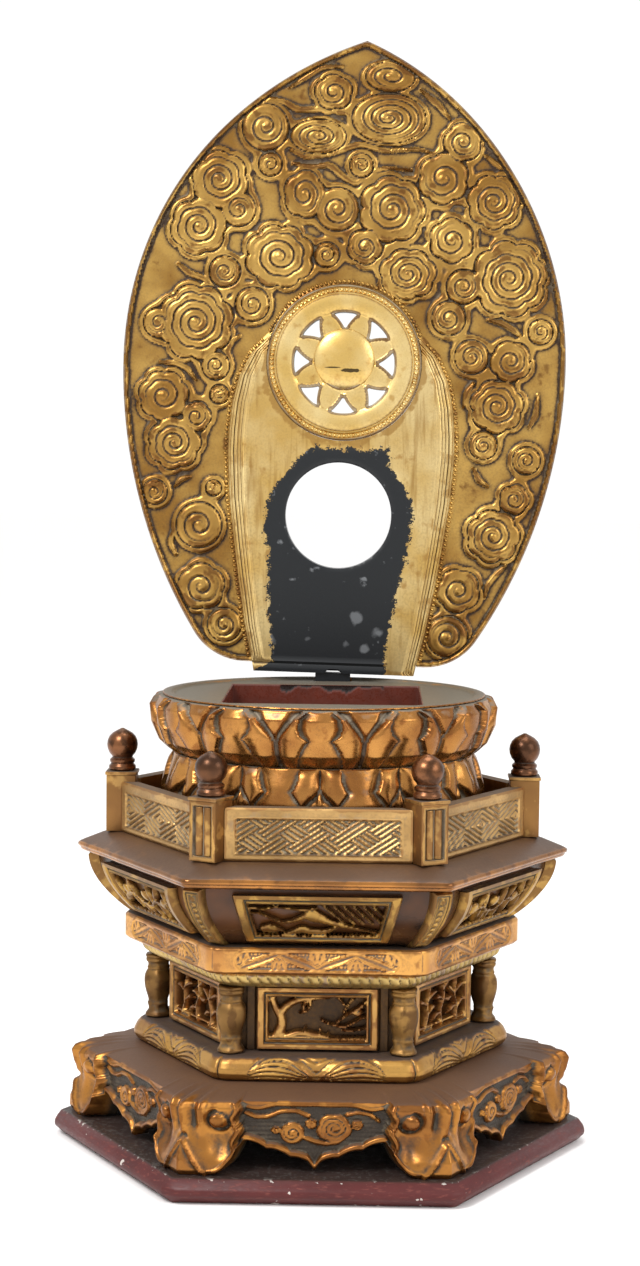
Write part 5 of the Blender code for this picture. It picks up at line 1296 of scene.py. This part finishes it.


# Surround of the mandorla: one pointed board, open round the column, carved all over with cloud
# whorls inside a rolled rim, gessoed and gilded. The gold goes brown in the hollows, partly dirt and
# partly painted shade, and is dusty at the foot. Its back is plain black lacquer.
MANDORLA_LEAN = math.radians(1.3)
MANDORLA_FOOT = (4.6, 84.0, 290.4)
BOARD_BACK = 14.0
FIELD_LEVEL = 2.6
OUTLINE_HALF_WIDTH = 146.6
OUTLINE_WIDEST = 205.0
OUTLINE_TOP = 417.0
LOWER_ARC = 336.2
UPPER_ARC = (OUTLINE_HALF_WIDTH ** 2 + (OUTLINE_TOP - OUTLINE_WIDEST) ** 2) / (2 * OUTLINE_HALF_WIDTH)
LOBE_RADIUS = 40.6
LOBE_FOOT = 6.0
TIP_DRIFT = 8.0
RING_CENTRE = (0.0, 206.6)
RING_RADIUS = 51.4
JOINT = 0.12
COLUMN_HEIGHTS = (0, 10, 30, 45, 62, 85, 115, 145, 160, 178, 196, 212, 225)
COLUMN_HALF_WIDTHS = (53.5, 55.5, 60, 62.5, 65.5, 69, 73, 75, 74.7, 73, 69, 61, 48)
# Whorls of cloud: across, up, half width, half height, hand of the turn, lobes of the outer strand
WHORLS = (
    (24, 394, 16, 9.5, 1, 0), (-13, 383, 12, 11, -1, 5), (-57, 359, 15, 15, 1, 0),
    (-22, 354, 18, 11, 1, 0), (24, 367, 24, 16, -1, 0), (73, 353, 12, 12, 1, 5),
    (-53, 335, 7.5, 7.5, 1, 0), (7, 336, 7.5, 7.5, 1, 0), (-86, 324, 18, 18, 1, 6),
    (-73, 305, 11, 11, -1, 0), (-99, 293, 18, 18, 1, 6), (-30, 316, 13, 15, -1, 5),
    (-8, 307, 14, 14, 1, 0), (28, 308, 21, 21, -1, 7), (61, 329, 16, 16, -1, 6),
    (95, 315, 17, 17, 1, 7), (-45, 275, 22, 20, 1, 8), (-14, 277, 8, 8, 1, 0),
    (11, 283, 11, 11, -1, 5), (68, 289, 14, 14, -1, 6), (40, 266, 18, 16, -1, 7),
    (107, 265, 24, 24, 1, 8), (77, 259, 11, 11, 1, 0), (-81, 264, 10, 10, 1, 0),
    (-99, 230, 24, 24, 1, 8), (-62, 243, 11, 11, -1, 0), (-124, 229, 9.5, 9.5, -1, 0),
    (68, 238, 11, 11, -1, 0), (129, 231, 8, 8, -1, 0), (-119, 181, 16, 16, 1, 7),
    (-85, 202, 9, 9, 1, 0), (-82, 183, 6, 6, 1, 0), (-97, 168, 9.5, 9.5, 1, 5),
    (-111, 150, 17, 17, 1, 7), (-123, 117, 8, 8, 1, 0), (-84, 121, 5, 5, -1, 0),
    (-93, 96, 15, 15, 1, 0), (-90, 55, 15, 15, 1, 5), (-74, 30, 11, 11, -1, 0),
    (84, 213, 11, 11, -1, 0), (110, 211, 13, 13, 1, 5), (102, 181, 17, 17, 1, 7),
    (94, 155, 9, 9, -1, 0), (123, 146, 9, 9, 1, 0), (116, 120, 9.5, 9.5, 1, 5),
    (103, 95, 17, 17, 1, 7), (81, 58, 14, 14, 1, 5), (75, 27, 13.5, 13.5, 1, 0),
)
# Grey spots on the lacquer: across, up, radius
SPOTS = ((-42, 21, 3.0), (29, 28, 3.4), (20.5, 17.5, 2.8), (14.5, 38, 4.0), (-18, 22, 1.6), (8, 20, 1.5))
# Loose cloud tails between the whorls: across, up, half width
TAILS = (
    ((-62, 379, 1.1), (-46, 376, 1.9), (-36, 371, 2.3), (-20, 372, 2.2), (0, 369, 1.6), (4, 362, 0.7)),
    ((-8, 400, 1.1), (-22, 399, 2.2), (-32, 392, 2.0), (-42, 385, 0.7)),
    ((44, 386, 1.1), (56, 377, 2.3), (64, 368, 0.7)),
    ((-40, 345, 1.1), (-30, 340, 1.7), (-14, 343, 2.1), (-4, 347, 2.3), (6, 350, 2.2),
     (22, 346, 1.9), (44, 348, 1.4), (58, 344, 0.7)),
    ((-38, 336, 1.1), (-26, 334, 1.7), (-14, 336, 2.1), (-4, 328, 2.3), (4, 324, 2.2),
     (12, 332, 1.9), (24, 335, 1.4), (40, 334, 0.7)),
    ((-112, 268, 1.1), (-104, 262, 2.2), (-94, 259, 2.0), (-84, 250, 0.7)),
    ((-122, 203, 1.1), (-112, 203, 2.2), (-104, 200, 2.0), (-98, 192, 0.7)),
    ((-70, 222, 1.1), (-76, 218, 2.3), (-82, 216, 0.7)),
    ((-100, 128, 1.1), (-106, 126, 2.3), (-110, 121, 0.7)),
    ((-108, 76, 1.1), (-112, 84, 2.3), (-110, 92, 0.7)),
    ((88, 345, 1.1), (98, 338, 2.3), (108, 335, 0.7)),
    ((84, 298, 1.1), (84, 288, 2.3), (86, 280, 0.7)),
    ((94, 238, 1.1), (104, 236, 2.2), (112, 231, 2.0), (118, 226, 0.7)),
    ((86, 196, 1.1), (82, 190, 2.3), (80, 180, 0.7)),
    ((124, 168, 1.1), (128, 176, 2.3), (129, 190, 0.7)),
    ((112, 76, 1.1), (106, 70, 2.2), (100, 62, 2.0), (99, 54, 0.7)),
    ((98, 128, 1.1), (92, 132, 2.3), (88, 140, 0.7)),
)


def column_half_width(up):
    """Half width of the column at each height, through the measured stations."""
    return np.interp(up, COLUMN_HEIGHTS, COLUMN_HALF_WIDTHS)


def from_outline(across, up):
    """How far each point is inside the pointed outline, from its arcs."""
    rise = np.clip((up - OUTLINE_WIDEST) / (OUTLINE_TOP - OUTLINE_WIDEST), 0, 1.2)
    side = np.abs(across - TIP_DRIFT * rise ** 4)
    upper = UPPER_ARC - np.hypot(side - (OUTLINE_HALF_WIDTH - UPPER_ARC), up - OUTLINE_WIDEST)
    lower = LOWER_ARC - np.hypot(side - (OUTLINE_HALF_WIDTH - LOWER_ARC), up - OUTLINE_WIDEST)
    drop = LOBE_FOOT + LOBE_RADIUS - OUTLINE_WIDEST
    reach = LOWER_ARC - LOBE_RADIUS
    lobe_across = OUTLINE_HALF_WIDTH - LOWER_ARC + math.sqrt(reach ** 2 - drop ** 2)
    lobe_up = LOBE_FOOT + LOBE_RADIUS
    lobe = LOBE_RADIUS - np.hypot(np.maximum(side - lobe_across, 0), np.minimum(up - lobe_up, 0))
    below = (up - OUTLINE_WIDEST) * reach < (side - (OUTLINE_HALF_WIDTH - LOWER_ARC)) * drop / (
        math.sqrt(reach ** 2 - drop ** 2) / reach)
    inside = np.where(up >= OUTLINE_WIDEST, upper, lower)
    return np.where(below | (side < lobe_across) & (up < lobe_up), np.minimum(lobe, inside), inside)


def from_column(across, up):
    """How far each point is outside the column and the ring on top of it."""
    ring = np.hypot(across - RING_CENTRE[0], up - RING_CENTRE[1]) - RING_RADIUS - JOINT
    side = np.abs(across) - column_half_width(up) - JOINT
    return np.where(up < COLUMN_HEIGHTS[-1], np.minimum(ring, side), ring)


def surround_edge(across, up):
    """Negative on the surround, positive outside it and over the column."""
    return np.maximum(-from_outline(across, up), -from_column(across, up))


def surround_relief(across, up):
    """Height of the carving above the field, in millimetres."""
    inside, outside = from_outline(across, up), from_column(across, up)
    level, nearest, gentle = whorl_relief(across, up, WHORLS, 6.6, 4.0)
    echo = 1.9 * cord(gentle / 3.4) * (gentle > 0) * (gentle < 3.4)
    ground = 0.35 * np.sin(across / 5.1 + np.sin(up / 7.3)) * np.sin(up / 6.2)
    field = np.maximum(echo, ground + strokes(across, up, TAILS, 2.2)[0] * (gentle > 1.0))
    level = np.where(nearest < 0, level, field)
    level = level * smooth(inside, 3.4, 5.2) * smooth(outside, 1.2, 3.0)
    rim = 2.6 * cord(np.clip(inside, 0, 3.3) / 3.3) ** 0.6 * (inside < 3.3)
    bead_edge = 0.9 * smooth(-outside, -2.0, -0.6)
    return np.maximum(np.maximum(level, rim), bead_edge)


def in_mandorla(across, depth, up):
    """Points of the mandorla's own drawing, in millimetres, stood on the pedestal in metres."""
    cos, sin = math.cos(MANDORLA_LEAN), math.sin(MANDORLA_LEAN)
    return ((MANDORLA_FOOT[0] + across * cos + up * sin) * MM, (MANDORLA_FOOT[1] + depth + 0 * across) * MM,
            (MANDORLA_FOOT[2] - across * sin + up * cos) * MM)


def behind(piece):
    """One for the points of a piece's back, nothing for the rest."""
    depth = np.array([vertex.co.y for vertex in piece.data.vertices]) / MM - MANDORLA_FOOT[1]
    return depth > BOARD_BACK - 0.5


def bare_lacquer(material):
    """Black lacquer with a low sheen, scuffed grey, wherever a piece's gilding was left out; the
    gold ends over it in a ragged, specked edge."""
    tree = material.node_tree
    shader = tree.nodes["Principled BSDF"]
    place = node(tree, "TexCoord", out="Object")
    bare = node(tree, "Attribute", out="Fac", attribute_name="lacquered")
    ragged = node(tree, "TexNoise", {"Vector": place, "Scale": 1 / (3.5 * MM), "Detail": 5.0})
    speckle = node(tree, "TexNoise", {"Vector": place, "Scale": 1 / (0.9 * MM), "Detail": 2.0})
    scuffed = node(tree, "TexNoise", {"Vector": place, "Scale": 1 / (7 * MM), "Detail": 5.0})
    bare = node(tree, "Math", {0: ragged, 1: 0.9, 2: bare}, operation="MULTIPLY_ADD")
    bare = node(tree, "Math", {0: speckle, 1: 0.55, 2: bare}, operation="MULTIPLY_ADD")
    lacquer = node(tree, "MapRange", {0: bare, 1: 1.19, 2: 1.25})
    scuff = node(tree, "MapRange", {0: scuffed, 1: 0.66, 2: 0.74, 4: 0.5})
    for across, up, width in SPOTS:
        middle = in_mandorla(across, 3.0, up)
        away = node(tree, "VectorMath", {0: place, 1: middle}, "Value", operation="DISTANCE")
        away = node(tree, "Math", {0: scuffed, 1: 9 * MM, 2: away}, operation="MULTIPLY_ADD")
        spot = node(tree, "MapRange", {0: away, 1: (width + 5.4) * MM, 2: (width + 3.2) * MM, 4: 0.42})
        scuff = node(tree, "Math", {0: scuff, 1: spot}, operation="MAXIMUM")
    black = node(tree, "Mix", {0: scuff, 6: linear("101316"), 7: linear("84878A")}, 2, data_type="RGBA")
    shader.inputs["Specular IOR Level"].default_value = 0.35
    gold = {name: shader.inputs[name].links[0].from_socket
            for name in ("Base Color", "Metallic", "Roughness")}
    tree.links.new(node(tree, "Mix", {0: lacquer, 6: gold["Base Color"], 7: black}, 2, data_type="RGBA"),
                   shader.inputs["Base Color"])
    tree.links.new(node(tree, "Mix", {0: lacquer, 2: gold["Metallic"], 3: 0.0}), shader.inputs["Metallic"])
    tree.links.new(node(tree, "Mix", {0: lacquer, 2: gold["Roughness"], 3: 0.34}), shader.inputs["Roughness"])


def bead_rows(name, places, radius, faces=2):
    """Small round beads at the given places in metres, all in one mesh."""
    bpy.ops.mesh.primitive_ico_sphere_add(subdivisions=faces, radius=radius * MM)
    bead = bpy.context.object
    points = np.array([vertex.co for vertex in bead.data.vertices])
    triangles = np.array([polygon.vertices for polygon in bead.data.polygons])
    bpy.data.objects.remove(bead)
    places = np.asarray(places)
    rows = (places[:, None, :] + points[None]).reshape(-1, 3)
    shifted = triangles[None] + len(points) * np.arange(len(places))[:, None, None]
    return new_piece(name, rows, shifted.reshape(-1, 3).tolist())


def spread_along(line, pitch):
    """Points at an even pitch along a line of points."""
    line = np.asarray(line, float)
    run = np.concatenate([[0], np.cumsum(np.hypot(*np.diff(line, axis=0).T))])
    stops = np.linspace(0, run[-1], int(run[-1] / pitch) + 1)
    return np.stack([np.interp(stops, run, line[:, 0]), np.interp(stops, run, line[:, 1])], 1)


SURROUND_GRAIN = 0.95
surround = carve(
    "mandorla_surround_carved",
    np.arange(-148, 156, SURROUND_GRAIN), np.arange(4, 420, SURROUND_GRAIN), surround_edge,
    lambda across, up: in_mandorla(across, FIELD_LEVEL - surround_relief(across, up), up),
    lambda across, up: in_mandorla(across, BOARD_BACK, up), filled=True)
mark_hollows(surround, 6, 0.8)
BEAD_RADIUS = 1.2
BEAD_PITCH = 3.1
bead_heights = np.arange(8, 221, 1.0)
right_side = np.stack([column_half_width(bead_heights) + 1.9, bead_heights], 1)
ring_turn = np.linspace(math.radians(22), math.radians(158), 60)
over_ring = np.stack([RING_CENTRE[0] + (RING_RADIUS + 2.2) * np.cos(ring_turn),
                      RING_CENTRE[1] + (RING_RADIUS + 2.2) * np.sin(ring_turn)], 1)
left_side = (right_side * (-1, 1))[::-1]
bead_line = np.concatenate([spread_along(line, BEAD_PITCH) for line in (right_side, over_ring, left_side)])
beads = bead_rows("mandorla_beads", np.stack(in_mandorla(
    bead_line[:, 0], np.full(len(bead_line), FIELD_LEVEL - 1.0), bead_line[:, 1]), 1), BEAD_RADIUS)
mark_hollows(beads, 2, 0.8)
join(surround, beads)
mark(surround, "lacquered", behind(surround))
cloud_gilt = worn_gilt("cloud_gilt", "B48F4C", "8A642E", "2E1D0E", "633F20", "776850", 0.04, 0.33)
bare_lacquer(cloud_gilt)
settle(surround, cloud_gilt, "pale_gilt", "mandorla_surround")


# Column of the mandorla: the board behind the statue, ridged down both sides, gilded where it
# showed and left in black lacquer where the statue hid it, with a round hole for the statue's
# fixing. A tenon under its foot stands in the lotus plate.
COLUMN_WIDEST = 75.0
HOLE_CENTRE = (-0.5, 105.3)
HOLE_RADIUS = 35.3
FOOT_BAR = 8.0
TENON = (23.4, 7.8, 17.2)
TENON_MIDDLE = -8.4
RIDGES = 4
RIDGE_BAND = (1.2, 10.5)
LACQUER_HEIGHTS = (0, 5, 16, 51, 82, 97, 115, 128, 137, 150)
LACQUER_LEFT = (-57, -42, -42, -46, -46.5, -50, -47, -40, -33, -20.5)
LACQUER_RIGHT = (34.5, 34.2, 34, 39.5, 46.5, 48, 48.6, 41, 34, 30.6)
COLUMN_LEVEL = 2.0


def column_edge(share, up):
    """Negative on the column, positive in its hole, under the head halo and past its sides."""
    across = share * column_half_width(up) / COLUMN_WIDEST
    ring = RING_RADIUS + JOINT - np.hypot(across - RING_CENTRE[0], up - RING_CENTRE[1])
    hole = HOLE_RADIUS - np.hypot(across - HOLE_CENTRE[0], up - HOLE_CENTRE[1])
    return np.maximum(np.maximum(ring, hole), np.abs(share) - COLUMN_WIDEST)


def lacquer_share(across, up):
    """Above one half where the bare lacquer shows, falling off over twelve millimetres."""
    left = across - np.interp(up, LACQUER_HEIGHTS, LACQUER_LEFT)
    right = np.interp(up, LACQUER_HEIGHTS, LACQUER_RIGHT) - across
    inside = np.minimum(np.minimum(left, right), (LACQUER_HEIGHTS[-1] - up) * 0.8)
    return np.clip(0.5 + inside / 12, 0, 1)


def column_relief(share, up):
    """Height of the column's ridges, smooth gold and sunk lacquer above its lowest level."""
    across = share * column_half_width(up) / COLUMN_WIDEST
    from_side = COLUMN_WIDEST - np.abs(share)
    band = (from_side - RIDGE_BAND[0]) / (RIDGE_BAND[1] - RIDGE_BAND[0])
    ridges = 0.5 + 1.5 * cord(np.clip(band, 0, 0.999) * RIDGES) ** 0.8
    gold = 0.9 + 0.5 * smooth(RIDGE_BAND[1] + 2 - from_side, 0, 2)
    level = np.where((band > 0) & (band < 1), ridges, gold)
    level = np.where(band <= 0, 0.6, level)
    level = level - 0.5 * smooth(lacquer_share(across, up), 0.45, 0.6)
    hole = np.hypot(across - HOLE_CENTRE[0], up - HOLE_CENTRE[1]) - HOLE_RADIUS
    level = level - 0.8 * (1 - smooth(hole, 0.0, 1.2))
    bar = (up < FOOT_BAR) * (across < LACQUER_RIGHT[0])
    return np.where(bar, 1.4 - 0.9 * (np.abs(up - 5.5) < 0.7), level)


side_shares = np.arange(61.5, 75.01, 0.5)
middle_shares = np.linspace(-61, 61, 70)
column_shares = np.concatenate([-side_shares[::-1], middle_shares, side_shares])
halo_panel = carve(
    "halo_panel_carved", column_shares, np.arange(0, 227.5, 1.8), column_edge,
    lambda share, up: in_mandorla(share * column_half_width(up) / COLUMN_WIDEST,
                                  COLUMN_LEVEL - column_relief(share, up), up),
    lambda share, up: in_mandorla(share * column_half_width(up) / COLUMN_WIDEST, BOARD_BACK, up))
mark_hollows(halo_panel, 4, 0.7)
points = np.array([vertex.co for vertex in halo_panel.data.vertices])
lean_back = Matrix.Rotation(-MANDORLA_LEAN, 3, "Y")
drawn = (points / MM - np.array(MANDORLA_FOOT)) @ np.array(lean_back).T
shown = np.where(drawn[:, 1] > BOARD_BACK - 0.5, 1.0, lacquer_share(drawn[:, 0], drawn[:, 2]))
mark(halo_panel, "lacquered", shown)

bpy.ops.mesh.primitive_cube_add(size=1, location=in_mandorla(-0.5, BOARD_BACK / 2, TENON_MIDDLE))
tenon = bpy.context.object
tenon.scale = [size * MM for size in TENON]
tenon.rotation_euler.y = MANDORLA_LEAN
bpy.ops.object.transform_apply(location=True, rotation=True, scale=True)
mark(tenon, "hollow", 0.5)
mark(tenon, "lacquered", 1.0)
join(halo_panel, tenon)

column_gilt = worn_gilt("column_gilt", "CFB67F", "BC9A58", "5A4426", "9A743C", "9A8E74", 0.1, 0.34)
tree = column_gilt.node_tree
shader = tree.nodes["Principled BSDF"]
# The gold was laid and rubbed up and down, so it is streaked lighter and browner along the column
drawn_out = node(tree, "Mapping", {"Vector": node(tree, "TexCoord", out="Object"), "Scale": (1, 1, 0.09)})
streak = node(tree, "TexNoise", {"Vector": drawn_out, "Scale": 1 / (3.2 * MM), "Detail": 4.0})
streak = node(tree, "MapRange", {0: streak, 1: 0.5, 2: 0.72, 4: 0.75})
plain = shader.inputs["Base Color"].links[0].from_socket
tree.links.new(node(tree, "Mix", {0: streak, 6: plain, 7: linear("93703A")}, 2, data_type="RGBA"),
               shader.inputs["Base Color"])
bare_lacquer(column_gilt)
settle(halo_panel, column_gilt, "black_lacquer", "halo_panel")


# Head halo: a gilded lotus flower pierced between its eight petals, in a smooth ring with a line
# of beads, round a plain domed boss. It is turned and carved of one piece with the column's top.
OPENWORK_RADIUS = 33.4
BOSS_RADIUS = 20.4
HALO_PETALS = 8
CORE_RADIUS = 16.0
# Scrapes on the boss: across and up from its ring's centre, half length and half height
SCRAPES = ((4.5, -5.0, 7.0, 1.3), (-7.5, -3.4, 5.0, 0.5))


def petal_opening(turn, radius):
    """Negative in the wood of the pierced flower, positive in its eight openings."""
    sector = (turn * HALO_PETALS / (2 * math.pi) + 0.5) % 1.0 - 0.5
    beside = np.abs(sector) * 2 * math.pi / HALO_PETALS * radius
    petal_side = 8.2 * (np.clip(radius - 21.5, 0, None) / 11.9) ** 1.3
    opening = np.minimum(petal_side - beside, np.minimum(radius - 23.0, OPENWORK_RADIUS - radius))
    return np.maximum(opening, np.maximum(CORE_RADIUS - radius, radius - RING_RADIUS))


def halo_relief(turn, radius):
    """Height of the ring's mouldings and of the petals."""
    sector = (turn * HALO_PETALS / (2 * math.pi)) % 1.0 - 0.5
    beside = np.abs(sector) * 2 * math.pi / HALO_PETALS * radius
    petal = 1.2 * dome(beside / (0.37 * radius)) + 0.1
    petal += 1.3 * one_cord(0.2 - petal_opening(turn, radius) / 2.6)
    lip = 1.2 * one_cord((radius - OPENWORK_RADIUS) / 3)
    smooth_ring = 3.3 * dome((radius - 40.5) / 8.5)
    inner_ridge = 1.5 * one_cord((radius - 45.0) / 1.9)
    outer_ridge = 1.6 * one_cord((radius - 49.4) / 2.0)
    ring = np.maximum(np.maximum(smooth_ring * (radius < 45.2), lip), np.maximum(inner_ridge, outer_ridge))
    return np.where(radius < OPENWORK_RADIUS, petal, ring)


def on_halo(turn, radius, depth):
    """Points at a turn and a radius from the ring's centre, in metres."""
    across = RING_CENTRE[0] - radius * np.sin(turn)
    return in_mandorla(across, depth, RING_CENTRE[1] + radius * np.cos(turn))


halo_radii = np.concatenate([np.arange(15.5, 33, 1.0), np.arange(33, 52.2, 0.6)])
head_halo = carve(
    "head_halo_carved", np.linspace(0, 2 * math.pi, 161)[:-1], halo_radii, petal_opening,
    lambda turn, radius: on_halo(turn, radius, 1.8 - halo_relief(turn, radius)),
    lambda turn, radius: on_halo(turn, radius, BOARD_BACK + 0 * radius), closed_round=True)
mark_hollows(head_halo, 3, 0.8)
ring_turns = np.linspace(0, 2 * math.pi, 98)[:-1]
ring_beads = bead_rows("ring_beads", np.stack(on_halo(ring_turns, 48.2 + 0 * ring_turns, 1.3), 1), 1.05)
mark_hollows(ring_beads, 2, 0.8)
bpy.ops.mesh.primitive_uv_sphere_add(segments=48, ring_count=24, radius=1)
boss = bpy.context.object
boss.scale = (BOSS_RADIUS * MM, 5.2 * MM, BOSS_RADIUS * MM)
boss.location = in_mandorla(RING_CENTRE[0], 1.4, RING_CENTRE[1] + 2.4)
bpy.ops.object.transform_apply(location=True, rotation=True, scale=True)
mark_hollows(boss, 1, 3)
bpy.ops.mesh.primitive_cylinder_add(vertices=48, radius=(CORE_RADIUS + 0.8) * MM, depth=11 * MM,
                                    rotation=(math.pi / 2, 0, 0),
                                    location=in_mandorla(RING_CENTRE[0], BOARD_BACK - 5.6, RING_CENTRE[1]))
core = bpy.context.object
bpy.ops.object.transform_apply(location=True, rotation=True, scale=True)
mark_hollows(core, 1, 3)
join(head_halo, ring_beads, boss, core)
mark(head_halo, "lacquered", behind(head_halo))
halo_gilt = worn_gilt("halo_gilt", "DCC388", "CAA860", "6B4E28", "AE8646", "9A8E74", 0.05, 0.32)
tree = halo_gilt.node_tree
shader = tree.nodes["Principled BSDF"]
# A dark scrape through the boss's gold, longer than it is high
place = node(tree, "TexCoord", out="Object")
torn = node(tree, "TexNoise", {"Vector": place, "Scale": 1 / (2 * MM), "Detail": 5.0})
for across, up, length, height in SCRAPES:
    middle = Vector(in_mandorla(across, 0, RING_CENTRE[1] + up))
    shift = node(tree, "VectorMath", {0: place, 1: middle}, operation="SUBTRACT")
    per_half = (1 / (length * MM), 0, 1 / (height * MM))
    scaled = node(tree, "VectorMath", {0: shift, 1: per_half}, operation="MULTIPLY")
    away = node(tree, "VectorMath", {0: scaled}, "Value", operation="LENGTH")
    away = node(tree, "Math", {0: torn, 1: 0.9, 2: away}, operation="MULTIPLY_ADD")
    scrape = node(tree, "MapRange", {0: away, 1: 1.5, 2: 1.35, 4: 0.9})
    plain = shader.inputs["Base Color"].links[0].from_socket
    tree.links.new(node(tree, "Mix", {0: scrape, 6: plain, 7: linear("221C18")}, 2, data_type="RGBA"),
                   shader.inputs["Base Color"])
bare_lacquer(halo_gilt)
settle(head_halo, halo_gilt, "pale_gilt", "head_halo")
